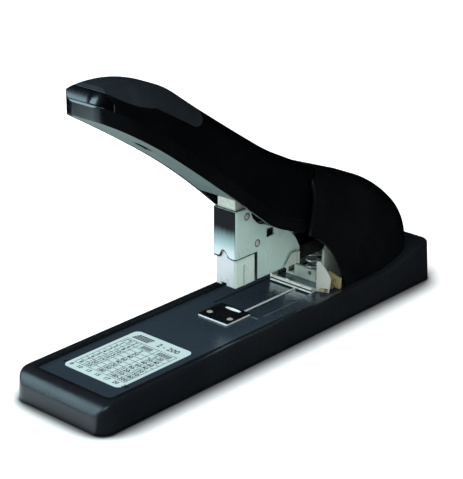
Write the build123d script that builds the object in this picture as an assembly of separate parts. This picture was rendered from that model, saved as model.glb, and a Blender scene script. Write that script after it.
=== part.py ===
from build123d import *
import os
from math import atan2, ceil, cos, degrees, dist, pi, radians, sin, sqrt

# Heavy-duty long-base desktop stapler, in millimetres.
# +X points to the paper end of the base, +Y to its left, +Z up.
# The origin is the middle of the base's footprint, on the surface it stands on.
# The rest pose has the handle raised, the magazine shut and the depth stop at the back.

# Fits
SEAT_GAP = 0.05        # between two pieces of one body that sit together
RUN_GAP = 0.05         # radial clearance of a pin in its bore
SLIDE_GAP = 0.3        # between faces that slide past each other
MOVE_GAP = 0.8         # between shells that swing past each other

# Base
BASE_LENGTH = 310.0
BASE_WIDTH = 76.0
BASE_CORNER = 9.3      # corner radius in plan
BASE_RIM = 19.5        # height of the front rim
BASE_REAR_RIM = 28.5   # height of the raised rear rim
BASE_RISE_START = -92.0
BASE_DRAFT = 3.2       # degrees, walls lean in towards the top
BASE_NOSE_ROUND = 12.0
BASE_EDGE_ROUND = 1.8
BASE_WALL = 2.6
BASE_RIBS = 7
FOOT_DROP = 0.8        # the shell's edge above the floor
FOOT_RADIUS = 7.5
SHEET_BOTTOM = 1.5     # thickness of the bottom plate
BOTTOM_SCREW_X = 118.0
BOTTOM_SCREW_Y = 26.0

# Deck plate, label and anvil
DECK_TOP = 17.4
DECK_SHEET = 2.0
DECK_FRONT = 142.9
DECK_HALF_WIDTH = 31.2
DECK_SHOULDER = -68.0  # behind this the plate narrows to a tongue
DECK_TONGUE_HALF = 21.0
DECK_REAR = -132.0
DECK_CORNER = 4.0
CHANNEL_DEPTH = 0.8    # shallow pressed channel under the magazine
CHANNEL_HALF = 18.6
CHANNEL_FRONT = 4.3
SLOT_Y = 5.2
SLOT_WIDTH = 2.6
SLOT_FRONT = 0.8
SLOT_REAR = -55.5
LABEL_LENGTH = 62.0
LABEL_WIDTH = 47.0
LABEL_X = 97.3
LABEL_CORNER = 4.0
LABEL_THICK = 0.2
ANVIL_LENGTH = 22.0
ANVIL_WIDTH = 24.6
ANVIL_SHEET = 1.2
ANVIL_X = 14.0
CLINCH_X = 6.0
CLINCH_LENGTH = 14.6
CLINCH_WIDTH = 3.4
CLINCH_DEPTH = 0.7

# Main pivot, frame bracket and springs
PIVOT_X = -96.0
PIVOT_Z = 60.0
PIN_RADIUS = 3.5
FRAME_SHEET = 2.0
FRAME_HALF_INSIDE = 14.0
FRAME_FRONT = -64.0
FRAME_REAR = -128.0
FRAME_BOSS = 12.0
TAB_HALF = 9.0
TAB_TOP = 25.0
ARM_SPRING_X = -74.0
ARM_SPRING_RADIUS = 5.2
ARM_SPRING_WIRE = 1.4
ARM_SPRING_TURNS = 4
HANDLE_SPRING_RADIUS = 5.3
HANDLE_SPRING_WIRE = 1.6
HANDLE_SPRING_TURNS = 3.175  # the fraction points the upper leg along the lever

# Magazine arm and housing
SHEET = 1.2            # zinc sheet of the magazine
HEAD_FRONT = 14.0      # outer face of the housing's front
HEAD_HALF = 9.5
HEAD_TOP = 87.5
HEAD_REAR = -47.0
ARM_BOTTOM = 38.0
SEAM_X = -5.4          # joint between the drawer's cap and the housing
SEAM_Z = 56.0
ARM_SHEET = 1.4
ARM_BOSS = 9.5
ARM_FRONT = -26.0
ARM_HEIGHT = 9.0

# Staple drawer
CAP_HALF = 8.2
CAP_FRONT = 12.75
CAP_BOTTOM = 37.0
STAPLE_LEG = 17.0
STAPLE_CROWN = 13.0
STAPLE_WIRE = 0.7
STRIP_LENGTH = 32.0
RAIL_SHEET = 0.8
RAIL_REAR = -44.0
FOLLOWER_LENGTH = 7.0
FOLLOWER_SPRING_RADIUS = 2.6
FOLLOWER_SPRING_WIRE = 0.7
FOLLOWER_SPRING_TURNS = 5

# Driver
DRIVER_HALF = 7.45
DRIVER_BOTTOM = 81.5
DRIVER_FRONT = 12.0
DRIVER_DEPTH = 11.0
DRIVER_SADDLE = 7.0    # how far the top reaches back under the roller
BLADE_SHEET = 0.8
BLADE_FRONT = 11.2
BLADE_LAP = 4.5        # how far the blade reaches up the plunger
BLADE_BOTTOM = 61.6

# Drive roller in the handle
ROLLER_X = -2.5
ROLLER_Z = 116.0
ROLLER_RADIUS = 4.0
ROLLER_HALF = 6.4
ROLLER_PIN = 2.0

# Handle
HANDLE_HALF = 22.0     # at the grip and where it enters the cover
HANDLE_WAIST_HALF = 16.7
HANDLE_WAIST_X = 45.0
HANDLE_WAIST_FRONT = 60.0  # from the waist to the full width of the grip
HANDLE_WAIST_REAR = 85.0   # from the waist to the full width at the cover
HANDLE_EDGE = 16.0     # rounding of the top's long edges
HANDLE_WALL = 2.6
HANDLE_NOSE_X = 127.6
HANDLE_NOSE_CORNER = 16.0
CREST_X = 113.0
CREST_Z = 189.3
CREST_RADIUS = 90.0
RIDGE_SLOPE = 34.5     # degrees
RIDGE_RUN = 85.0
WAIST_RADIUS = 160.0
WAIST_SLOPE = 27.0     # degrees
BELLY_X = 20.0
BELLY_Z = 98.4
BELLY_SLOPE = 40.0     # degrees
BELLY_RADIUS = 700.0
BELLY_TURN = 10.7      # degrees
BELLY_RUN = 28.7
HEEL_RADIUS = 57.0
HEEL_SLOPE = 22.5      # degrees
HEEL_END = -36.0
NOSE_TIP_Z = 180.2
BROW_X = 121.3
BROW_Z = 187.7
BAND_HEIGHT = 8.0
UNDERSIDE_REAR = 20.0
GRIP_THICK = 1.6
GRIP_REAR = 43.0
LEVER_SHEET = 1.5
LEVER_WEB = 2.0
LEVER_HALF = 12.5
LEVER_BOSS = 10.0
LEVER_FRONT = 84.0
SCREW_X = 82.0

# Rear cover
COVER_HALF_FOOT = 31.4
COVER_HALF_TOP = 28.6
COVER_EDGE = 24.0
COVER_WALL = 2.4
COVER_SLOPE = 21.5     # degrees
COVER_BEND_X = -98.0
COVER_BEND_Z = 83.6
COVER_BACK_RADIUS = 105.0
COVER_TAIL_RADIUS = 42.0
COVER_TAIL_SLOPE = 45.0  # degrees, where the two arcs of the back meet
LIP_X = -60.0
LIP_SIDE_X = -42.0
LIP_SIDE_Y = 22.7
LIP_Z = 100.0
LIP_LEAN = 0.22        # forward reach of the lip for each millimetre down
ARCH_FOOT_X = -68.6
ARCH_MID = (-57.0, 44.0)
ARCH_TOP = (-26.0, 67.0)
COVER_SCREWS = [(-104.0, 26.4), (-140.4, 12.0)]

# Depth stop
STOP_X = -50.0
STOP_BAR_WIDTH = 6.0
STOP_SHEET = 1.2
STOP_LEFT = -14.0
STOP_RIGHT = 19.6
STOP_LIP = 2.6
FIN_TOP = 38.6
FIN_LEAN = 22.0        # degrees
STOP_TAB_X = -62.1
TAB_INNER = 21.5       # the tab's edges across the base
TAB_OUTER = 30.7
TAB_TALL = 29.4        # height of its inner edge
TAB_SHORT = 26.6       # height of its outer edge
TAB_SHEET = 1.0
TAB_HOOK = 1.6         # depth of the rim on its outer edge
TAB_LIFT = 1.5         # the tab's foot over the stop's underside
TAB_FOOT_Y = (22.7, 26.4)
TAB_FOOT_END = -51.0   # the foot runs forward through a slot in the fin


def prism_x(sketch, low, high):
    """Carry a sketch drawn in Y and Z along X."""
    return extrude(Plane.YZ.offset(low) * sketch, high - low)


def prism_y(sketch, low, high):
    """Carry a sketch drawn in X and Z along Y."""
    return extrude(Plane.XZ.offset(-low) * sketch, low - high)


def prism_z(sketch, low, high):
    """Carry a sketch drawn in X and Y along Z."""
    return extrude(Plane.XY.offset(low) * sketch, high - low)


def block(x, y, z):
    """A box between two limits on each axis."""
    centre = ((x[0] + x[1]) / 2, (y[0] + y[1]) / 2, (z[0] + z[1]) / 2)
    return Pos(*centre) * Box(x[1] - x[0], y[1] - y[0], z[1] - z[0])


def rod_y(x, z, radius, low, high):
    """A round bar along Y."""
    return prism_y(Pos(x, z) * Circle(radius), low, high)


def rod_z(x, y, radius, low, high):
    """A round bar along Z."""
    return prism_z(Pos(x, y) * Circle(radius), low, high)


def ring_y(x, z, inner, outer, low, high):
    """A washer or bush along Y."""
    return prism_y(Pos(x, z) * (Circle(outer) - Circle(inner)), low, high)


def outline(*points):
    """A closed face through straight corners."""
    return make_face(Polyline(*points, close=True))


def mirrored(solid):
    """The solid and its mirror image across the middle plane."""
    return Compound([solid, mirror(solid, Plane.XZ)])


def pan_screw(x, y, seat, head_radius, head_height, shank_radius, shank_end):
    """A round-headed screw on Z; the head sits on seat, the shank runs to shank_end."""
    away = 1 if seat > shank_end else -1
    crown = seat + away * head_height
    bevel = 0.35 * head_height
    profile = Polyline(
        (0, shank_end),
        (shank_radius, shank_end),
        (shank_radius, seat),
        (head_radius, seat),
        (head_radius, crown - away * bevel),
        (head_radius - bevel, crown),
        (0, crown),
        close=True,
    )
    turned = revolve(Plane.XZ * make_face(profile), Axis.Z)
    slot = Box(0.9, 2 * head_radius, head_height)
    return Pos(x, y, 0) * (turned - Pos(0, 0, crown) * slot)


def rivet_y(x, z, face, head_radius, head_height, shank_radius, shank_length):
    """A domed rivet on Y, its head outside face, its shank running inwards."""
    side = 1 if face > 0 else -1
    dome = TangentArc((0, head_height), (head_radius, 0), tangent=(1, 0))
    rest = Polyline(
        (0, head_height), (0, -shank_length), (shank_radius, -shank_length),
        (shank_radius, 0), (head_radius, 0),
    )
    turned = revolve(Plane.XZ * make_face([dome] + rest.edges()), Axis.Z)
    return Pos(x, face, z) * Rot(-90 * side, 0, 0) * turned


def biarc(start, start_way, end, end_way):
    """Two arcs that leave start and reach end along the given unit directions."""
    gap = end - start
    ways = start_way + end_way
    reach = 2 * (1 - start_way.dot(end_way))
    middle = gap.dot(ways)
    size = (-middle + sqrt(middle**2 + reach * gap.dot(gap))) / reach
    first = start + start_way * size
    last = end - end_way * size
    joint = (first + last) * 0.5
    way = (last - first).normalized()
    return [
        Edge.make_tangent_arc(start, start_way, joint),
        Edge.make_tangent_arc(joint, way, end),
    ]


def coil_path(centre, axis, across, radius, pitch, turns, tail_in, tail_out):
    """A helix of biarcs of half a turn or less, with a straight tail at each end."""
    up = Vector(*axis)
    side = Vector(*across)
    third = up.cross(side)
    climb = pitch / (2 * pi)
    speed = sqrt(radius**2 + climb**2)

    def place(angle):
        flat = side * (radius * cos(angle)) + third * (radius * sin(angle))
        return Vector(*centre) + flat + up * (climb * angle)

    def way(angle):
        flat = third * (radius * cos(angle)) - side * (radius * sin(angle))
        return (flat + up * climb) * (1 / speed)

    last = 2 * pi * turns
    edges = [Edge.make_line(place(0) - way(0) * tail_in, place(0))]
    count = ceil(2 * turns)
    step = last / count
    for number in range(count):
        low = number * step
        high = low + step
        edges += biarc(place(low), way(low), place(high), way(high))
    edges.append(Edge.make_line(place(last), place(last) + way(last) * tail_out))
    return Wire(edges)


def least_self_gap(path, wire, radius):
    """Least gap of a spring's wire to itself, on points half a turn or more apart."""
    step = wire / 4
    count = ceil(path.length / step)
    points = [tuple(path.position_at(number / count)) for number in range(count + 1)]
    apart = ceil(pi * radius / step)
    reach = min(
        dist(points[first], points[second])
        for first in range(count)
        for second in range(first + apart, count + 1)
    )
    return reach - wire


def wire_spring(path, wire, radius):
    """A round wire swept along a spring's path; its least gap to itself is printed."""
    print("least gap of the spring to itself", round(least_self_gap(path, wire, radius), 2))
    start = path.position_at(0)
    section = Plane(start, z_dir=path.tangent_at(0)) * Circle(wire / 2)
    return sweep(section, path=path)


# Base

def base_top_path():
    """Side view of the base's top edge, from the rear end to the front."""
    rise = BASE_REAR_RIM - BASE_RIM
    rear = -BASE_LENGTH / 2 - 1
    run = BASE_RISE_START - rear
    middle = (BASE_RISE_START - run / 2, BASE_RIM + rise / 2)
    sweep_up = TangentArc((BASE_RISE_START, BASE_RIM), middle, tangent=(-1, 0))
    level_off = TangentArc(middle, (rear, BASE_REAR_RIM), tangent=sweep_up % 1)
    front = BASE_LENGTH / 2
    bend = (front - BASE_NOSE_ROUND, BASE_RIM)
    flat = Line((BASE_RISE_START, BASE_RIM), bend)
    waterfall = TangentArc(bend, (front, BASE_RIM - BASE_NOSE_ROUND), tangent=(1, 0))
    return [level_off, sweep_up, flat, waterfall]


def base_side(bottom):
    """Closed side view of the base down to the given height."""
    edges = base_top_path()
    rear = -BASE_LENGTH / 2 - 1
    front = BASE_LENGTH / 2
    drop = Line((front, BASE_RIM - BASE_NOSE_ROUND), (front, bottom))
    under = Line((front, bottom), (rear, bottom))
    back = Line((rear, bottom), (rear, BASE_REAR_RIM))
    return make_face(edges + [drop, under, back])


def deck_outline(gap):
    """Plan of the deck plate, grown by a gap: a wide front and a narrow rear tongue."""
    wide = DECK_HALF_WIDTH + gap
    slim = DECK_TONGUE_HALF + gap
    front = DECK_FRONT + gap
    shoulder = DECK_SHOULDER - gap
    rear = DECK_REAR - gap
    face = outline(
        (front, wide), (shoulder, wide), (shoulder, slim), (rear, slim),
        (rear, -slim), (shoulder, -slim), (shoulder, -wide), (front, -wide),
    )
    corners = [v for v in face.vertices() if v.X > shoulder + 1]
    return fillet(corners, DECK_CORNER)


DECK_FLOOR = DECK_TOP - DECK_SHEET
CAVITY_TOP = DECK_FLOOR - 2.4
CHANNEL_FLOOR = DECK_TOP - CHANNEL_DEPTH
BOTTOM_LOW = FOOT_DROP + 0.2
BOTTOM_HIGH = BOTTOM_LOW + SHEET_BOTTOM
BOTTOM_SCREWS = [(x, y) for x in (-BOTTOM_SCREW_X, 0, BOTTOM_SCREW_X)
                 for y in (-BOTTOM_SCREW_Y, BOTTOM_SCREW_Y)]
FRAME_FLOOR = CHANNEL_FLOOR + FRAME_SHEET
FRAME_HALF = FRAME_HALF_INSIDE + FRAME_SHEET
FRAME_SCREWS = [(x, y) for x in (-119.0, -88.0) for y in (-9.0, 9.0)]
KEEPER_X = (STOP_X - 6, STOP_X + 6)
KEEPER_HALF = 5.0
KEEPER_DEPTH = 1.4
STOP_TRAVEL = 34.0


def base_shell():
    """The moulded base: drafted walls, raised rear, deck pocket, ribbed underside."""
    plan = RectangleRounded(BASE_LENGTH, BASE_WIDTH, BASE_CORNER)
    height = BASE_REAR_RIM + 2 - FOOT_DROP
    lump = extrude(Pos(0, 0, FOOT_DROP) * plan, height, taper=BASE_DRAFT)
    form = lump & prism_y(base_side(0), -BASE_WIDTH, BASE_WIDTH)
    rim = [e for e in form.edges() if e.center().Z > BASE_RIM - BASE_NOSE_ROUND + 0.5]
    sides = [e for e in rim if abs(e.center().Y) > BASE_WIDTH / 2 - 6]
    form = fillet([e for e in sides if e.bounding_box().size.X > 20], BASE_EDGE_ROUND)
    form -= prism_z(deck_outline(SLIDE_GAP), DECK_FLOOR, BASE_REAR_RIM + 5)
    inner = RectangleRounded(
        BASE_LENGTH - 2 * BASE_WALL, BASE_WIDTH - 2 * BASE_WALL, BASE_CORNER - BASE_WALL
    )
    cavity = extrude(Pos(0, 0, FOOT_DROP) * inner, CAVITY_TOP - FOOT_DROP, taper=BASE_DRAFT)
    solid_above = (BOTTOM_HIGH + SEAT_GAP, CAVITY_TOP)
    pitch = BASE_LENGTH / (BASE_RIBS + 1)
    for number in range(BASE_RIBS):
        place = (number + 1) * pitch - BASE_LENGTH / 2
        cavity -= block((place - 1, place + 1), (-BASE_WIDTH, BASE_WIDTH), solid_above)
    cavity -= block((-BASE_LENGTH, BASE_LENGTH), (-1, 1), solid_above)
    for x, y in BOTTOM_SCREWS:
        cavity -= rod_z(x, y, 4.2, *solid_above)
    for x, y in COVER_SCREWS:
        cavity += rod_z(x, y, 4.0, FOOT_DROP, CAVITY_TOP)
        cavity += rod_z(x, -y, 4.0, FOOT_DROP, CAVITY_TOP)
    form -= cavity
    for x, y in BOTTOM_SCREWS:
        form -= rod_z(x, y, 1.5, 0, CAVITY_TOP - 1)
    for x, y in COVER_SCREWS:
        form -= rod_z(x, y, 1.8, 0, BASE_REAR_RIM + 5)
        form -= rod_z(x, -y, 1.8, 0, BASE_REAR_RIM + 5)
    for x, y in FRAME_SCREWS:
        form -= rod_z(x, y, 2.0, CAVITY_TOP - 1, BASE_REAR_RIM)
    track = (SLOT_REAR - 8, SLOT_FRONT + 1)
    form -= block(track, (SLOT_Y - 6, SLOT_Y + 6), (DECK_FLOOR - KEEPER_DEPTH, DECK_FLOOR + 1))
    return form


def bottom_plate():
    """Sheet that closes the underside between the walls."""
    margin = BASE_WALL + 1.0
    plan = RectangleRounded(
        BASE_LENGTH - 2 * margin, BASE_WIDTH - 2 * margin, BASE_CORNER - BASE_WALL
    )
    plate = prism_z(plan, BOTTOM_LOW, BOTTOM_HIGH)
    for x, y in BOTTOM_SCREWS:
        plate -= rod_z(x, y, 1.8, 0, BOTTOM_HIGH + 1)
    for x, y in COVER_SCREWS:
        plate -= rod_z(x, y, 4.5, 0, BOTTOM_HIGH + 1)
        plate -= rod_z(x, -y, 4.5, 0, BOTTOM_HIGH + 1)
    return plate


def bottom_screws():
    """Screws from the bottom plate up into the base's bosses."""
    return Compound([
        pan_screw(x, y, BOTTOM_LOW, 3.2, 0.8, 1.4, CAVITY_TOP - 2) for x, y in BOTTOM_SCREWS
    ])


def rubber_feet():
    """Round pads under the bottom plate, flared where they are stuck on."""
    feet = []
    for x in (-BASE_LENGTH / 2 + 15, BASE_LENGTH / 2 - 15):
        for y in (-BASE_WIDTH / 2 + 12.5, BASE_WIDTH / 2 - 12.5):
            flare = Cone(FOOT_RADIUS, FOOT_RADIUS + 0.4, BOTTOM_LOW)
            feet.append(Pos(x, y, BOTTOM_LOW / 2) * flare)
    return Compound(feet)


def deck_plate():
    """Steel deck with a shallow pressed channel and the depth stop's slot."""
    plate = prism_z(deck_outline(0), DECK_FLOOR, DECK_TOP)
    plate -= block(
        (DECK_REAR - 1, CHANNEL_FRONT), (-CHANNEL_HALF, CHANNEL_HALF), (CHANNEL_FLOOR, DECK_TOP + 1)
    )
    slot_length = SLOT_FRONT - SLOT_REAR
    slot = Pos((SLOT_FRONT + SLOT_REAR) / 2, SLOT_Y) * SlotOverall(slot_length, SLOT_WIDTH)
    plate -= prism_z(slot, DECK_FLOOR - 1, DECK_TOP + 1)
    for x, y in FRAME_SCREWS:
        plate -= rod_z(x, y, 2.0, DECK_FLOOR - 1, DECK_TOP + 1)
    return plate


def capacity_label():
    """Thin chart label on the front of the deck."""
    plan = Pos(LABEL_X, 0) * RectangleRounded(LABEL_LENGTH, LABEL_WIDTH, LABEL_CORNER)
    return prism_z(plan, DECK_TOP, DECK_TOP + LABEL_THICK)


ANVIL_TOP = DECK_TOP + ANVIL_SHEET
ANVIL_RIVETS = [(ANVIL_X + 4, -8.4), (ANVIL_X + 4, 8.4)]


def anvil_plate():
    """Hard plate with the lens-shaped groove that turns the staple's legs."""
    plan = Pos(ANVIL_X, 0) * RectangleRounded(ANVIL_LENGTH, ANVIL_WIDTH, 1.2)
    plate = prism_z(plan, DECK_TOP, ANVIL_TOP)
    reach = CLINCH_LENGTH / 2
    bend = (reach**2 + CLINCH_DEPTH**2) / (2 * CLINCH_DEPTH)
    hollow = prism_x(
        Pos(0, ANVIL_TOP + bend - CLINCH_DEPTH) * Circle(bend),
        CLINCH_X - CLINCH_WIDTH, CLINCH_X + CLINCH_WIDTH,
    )
    lens = Pos(CLINCH_X, 0) * Ellipse(CLINCH_WIDTH / 2, reach)
    plate -= hollow & prism_z(lens, DECK_TOP, ANVIL_TOP + 1)
    for x, y in ANVIL_RIVETS:
        plate -= rod_z(x, y, 1.5, DECK_TOP - 1, ANVIL_TOP + 1)
    return plate


def anvil_rivets():
    """Low rivets that hold the anvil down."""
    rivets = []
    for x, y in ANVIL_RIVETS:
        shank = rod_z(x, y, 1.5 - SEAT_GAP, DECK_TOP, ANVIL_TOP)
        head = Pos(x, y, ANVIL_TOP) * Cone(2.0, 1.3, 0.4, align=(Align.CENTER, Align.CENTER, Align.MIN))
        rivets.append(shank + head)
    return Compound(rivets)


# Rear frame and pivot

def frame_bracket():
    """Bent steel bracket: floor, two cheeks that carry the pivot, and a front tab."""
    cheek = outline(
        (FRAME_REAR, CHANNEL_FLOOR), (FRAME_FRONT, CHANNEL_FLOOR), (FRAME_FRONT, 41),
        (PIVOT_X + 11.5, PIVOT_Z + 4), (PIVOT_X, PIVOT_Z + 8),
        (PIVOT_X - 11, PIVOT_Z), (FRAME_REAR, 34),
    )
    cheek += Pos(PIVOT_X, PIVOT_Z) * Circle(FRAME_BOSS)
    cheeks = prism_y(cheek, -FRAME_HALF, FRAME_HALF)
    cheeks -= block(
        (FRAME_REAR - 1, PIVOT_X + 60), (-FRAME_HALF_INSIDE, FRAME_HALF_INSIDE),
        (FRAME_FLOOR, PIVOT_Z + FRAME_BOSS + 1),
    )
    tab = block(
        (FRAME_FRONT - FRAME_SHEET, FRAME_FRONT), (-TAB_HALF, TAB_HALF), (FRAME_FLOOR, TAB_TOP)
    )
    tab -= prism_x(Pos(4, 22.2) * Circle(1.4), FRAME_FRONT - 3, FRAME_FRONT + 1)
    frame = cheeks + tab
    frame -= rod_y(PIVOT_X, PIVOT_Z, PIN_RADIUS + RUN_GAP, -FRAME_HALF - 1, FRAME_HALF + 1)
    for x, y in FRAME_SCREWS:
        frame -= rod_z(x, y, 2.2, CHANNEL_FLOOR - 1, FRAME_FLOOR + 1)
    return frame


def frame_screws():
    """Screws through the bracket's floor and the deck into the base."""
    return Compound([
        pan_screw(x, y, FRAME_FLOOR, 3.6, 2.0, 1.9, CAVITY_TOP + 0.2) for x, y in FRAME_SCREWS
    ])


def main_pivot_pin():
    """Shaft of the handle and the arm, grooved for a clip at each end."""
    length = FRAME_HALF + 2.2
    pin = rod_y(PIVOT_X, PIVOT_Z, PIN_RADIUS, -length, length)
    for side in (-1, 1):
        groove = sorted((side * (FRAME_HALF + 0.3), side * (FRAME_HALF + 1.4)))
        pin -= ring_y(PIVOT_X, PIVOT_Z, PIN_RADIUS - 0.7, PIN_RADIUS + 1, *groove)
    return pin


def pivot_clips():
    """Open retaining rings in the pin's grooves."""
    low = FRAME_HALF + 0.3 + SEAT_GAP
    high = FRAME_HALF + 1.4 - SEAT_GAP
    ring = Circle(PIN_RADIUS + 2.6) - Circle(PIN_RADIUS - 0.7 + SEAT_GAP)
    ring -= Pos(0, -4) * Rectangle(2 * PIN_RADIUS - 1.8, 8)
    return mirrored(prism_y(Pos(PIVOT_X, PIVOT_Z) * ring, low, high))


def pivot_washers():
    """Washers between the lever and the frame's cheeks."""
    low = LEVER_HALF + SLIDE_GAP / 3
    high = FRAME_HALF_INSIDE - SEAT_GAP
    return mirrored(
        ring_y(PIVOT_X, PIVOT_Z, PIN_RADIUS + RUN_GAP, PIN_RADIUS + 3.5, low, high)
    )


def handle_spring():
    """Torsion spring round the pin, one leg on the bracket's floor, one under the lever."""
    pitch = HANDLE_SPRING_WIRE + 0.7
    half = pitch * HANDLE_SPRING_TURNS / 2
    path = coil_path(
        (PIVOT_X, -half, PIVOT_Z), (0, 1, 0), (-1, 0, 0),
        HANDLE_SPRING_RADIUS, pitch, HANDLE_SPRING_TURNS, 40.4, 38.5,
    )
    return wire_spring(path, HANDLE_SPRING_WIRE, HANDLE_SPRING_RADIUS)


def arm_spring():
    """Compression spring that lifts the magazine arm off the bracket's floor."""
    low = FRAME_FLOOR + ARM_SPRING_WIRE / 2 + 0.2
    high = ARM_BOTTOM - ARM_SPRING_WIRE / 2 - 0.7
    pitch = (high - low) / ARM_SPRING_TURNS
    path = coil_path(
        (ARM_SPRING_X, 0, low), (0, 0, 1), (1, 0, 0),
        ARM_SPRING_RADIUS, pitch, ARM_SPRING_TURNS, ARM_SPRING_WIRE, ARM_SPRING_WIRE,
    )
    return wire_spring(path, ARM_SPRING_WIRE, ARM_SPRING_RADIUS)


# Rear cover

def cover_form(inset):
    """The hump's outside moved inwards: a bent back, leaning sides and soft edges."""
    slope = radians(COVER_SLOPE)
    reach = 90.0
    start = (COVER_BEND_X + reach * cos(slope), COVER_BEND_Z + reach * sin(slope))
    bend = (COVER_BEND_X, COVER_BEND_Z)
    roof = Line(start, bend)
    back = JernArc(bend, roof % 1, COVER_BACK_RADIUS, COVER_TAIL_SLOPE - COVER_SLOPE)
    tail = JernArc(back @ 1, back % 1, COVER_TAIL_RADIUS, 90 - COVER_TAIL_SLOPE)
    foot = Line(tail @ 1, ((tail @ 1).X, 0))
    under = Line(foot @ 1, (start[0], 0))
    front = Line(under @ 1, start)
    side = make_face([roof, back, tail, foot, under, front])
    side = offset(side, -inset, kind=Kind.INTERSECTION) if inset else side
    top = start[1] + 5
    lean = (COVER_HALF_FOOT - COVER_HALF_TOP) / (LIP_Z - BASE_RIM)
    foot_half = COVER_HALF_FOOT + lean * BASE_RIM - inset
    top_half = foot_half - lean * top
    section = outline((-foot_half, 0), (foot_half, 0), (top_half, top), (-top_half, top))
    form = prism_y(side, -60, 60) & prism_x(section, -200, 60)
    crown = [e for e in form.edges() if abs(e.center().Y) > 10]
    crown = [e for e in crown if e.bounding_box().size.X > 0.5 or e.center().X < -130]
    crown = [e for e in crown if e.center().Z > inset + 0.5 and e.center().X < start[0] - inset - 2]
    return fillet(crown, COVER_EDGE - inset)


def lip_cutter():
    """Everything in front of the cover's curved, leaning front lip."""
    far = 120.0
    wide = 45.0
    arc = ThreePointArc((LIP_SIDE_X, -LIP_SIDE_Y), (LIP_X, 0), (LIP_SIDE_X, LIP_SIDE_Y))
    sides = Polyline(
        (LIP_SIDE_X, LIP_SIDE_Y), (LIP_SIDE_X + 2, wide), (far, wide),
        (far, -wide), (LIP_SIDE_X + 2, -wide), (LIP_SIDE_X, -LIP_SIDE_Y),
    )
    face = make_face([arc] + sides.edges())
    drop = LIP_Z
    length = drop * sqrt(1 + LIP_LEAN**2)
    below = extrude(Pos(0, 0, LIP_Z) * face, length, dir=(LIP_LEAN, 0, -1))
    above = extrude(Pos(0, 0, LIP_Z) * face, 40)
    return below + above


def arch_cutter():
    """The opening under the cover's front for paper and the depth stop."""
    foot = (ARCH_FOOT_X, 17)
    arch = ThreePointArc(foot, ARCH_MID, ARCH_TOP)
    rest = Polyline(ARCH_TOP, (60, ARCH_TOP[1]), (60, -5), (ARCH_FOOT_X, -5), foot)
    return prism_y(make_face([arch] + rest.edges()), -60, 60)


def rear_cover():
    """Moulded hump over the mechanism, with screw bosses inside."""
    cover = cover_form(0) - cover_form(COVER_WALL)
    for x, y in COVER_SCREWS:
        for side in (-y, y):
            boss = rod_z(x, side, 3.6, 0, 36)
            cover += (boss & cover_form(COVER_WALL)) - rod_z(x, side, 1.5, 0, 34)
    cover -= lip_cutter()
    cover -= arch_cutter()
    cover -= Pos(0, 0, SEAT_GAP) * prism_y(base_side(-20), -60, 60)
    return cover - handle_form(-MOVE_GAP)


def cover_screws():
    """Screws from the base's underside into the cover's bosses."""
    screws = []
    for x, y in COVER_SCREWS:
        for side in (-y, y):
            screws.append(pan_screw(x, side, CAVITY_TOP, 3.2, 2.0, 1.4, 33))
    return Compound(screws)


# Handle

def ridge_path(drop):
    """The handle's top line from the nose to inside the cover, moved in by drop."""
    over = 24.0
    nose = asin_degrees(over / CREST_RADIUS)
    radius = CREST_RADIUS - drop
    crest_low = CREST_Z - CREST_RADIUS
    angle = radians(90 - nose)
    start = (CREST_X + radius * cos(angle), crest_low + radius * sin(angle))
    way = (-sin(angle), cos(angle))
    crest = JernArc(start, way, radius, nose + RIDGE_SLOPE)
    fall = Vector(-cos(radians(RIDGE_SLOPE)), -sin(radians(RIDGE_SLOPE)))
    ridge = Line(crest @ 1, crest @ 1 + fall * RIDGE_RUN)
    waist = JernArc(ridge @ 1, fall, WAIST_RADIUS + drop, WAIST_SLOPE - RIDGE_SLOPE)
    back = Vector(-cos(radians(WAIST_SLOPE)), -sin(radians(WAIST_SLOPE)))
    tail = Line(waist @ 1, waist @ 1 + back * 70)
    return [crest, ridge, waist, tail]


def asin_degrees(value):
    """Angle whose sine is value, in degrees."""
    return degrees(atan2(value, sqrt(1 - value**2)))


def belly_path(rise):
    """The handle's lower line from the nose to the heel, moved up by rise."""
    slope = radians(BELLY_SLOPE)
    start = Vector(BELLY_X - rise * sin(slope), BELLY_Z + rise * cos(slope))
    ahead = Vector(cos(slope), sin(slope))
    belly = JernArc(start, ahead, BELLY_RADIUS + rise, -BELLY_TURN)
    run = Line(start, start - ahead * BELLY_RUN)
    heel = JernArc(run @ 1, ahead * -1, HEEL_RADIUS - rise, HEEL_SLOPE - BELLY_SLOPE)
    back = Vector(-cos(radians(HEEL_SLOPE)), -sin(radians(HEEL_SLOPE)))
    length = ((heel @ 1).X - HEEL_END) / cos(radians(HEEL_SLOPE))
    tail = Line(heel @ 1, heel @ 1 + back * length)
    return [belly, run, heel, tail]


def handle_side():
    """Side view of the handle without its top: belly, faceted nose and tail."""
    belly, run, heel, tail = belly_path(0)
    chin = belly @ 1
    tip = (HANDLE_NOSE_X - 0.1, NOSE_TIP_Z)
    brow = (BROW_X, BROW_Z)
    nose = Polyline(chin, tip, brow, (brow[0] - 6, CREST_Z + 2), (brow[0] - 30, 230), (-40, 230), (-59, 97.9))
    rear = Polyline((-59, 97.9), (-75, 81.5), (-75, 72), (HEEL_END - 8, 70), tail @ 1)
    return make_face([belly, run, heel, tail] + nose.edges() + rear.edges())


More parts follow.
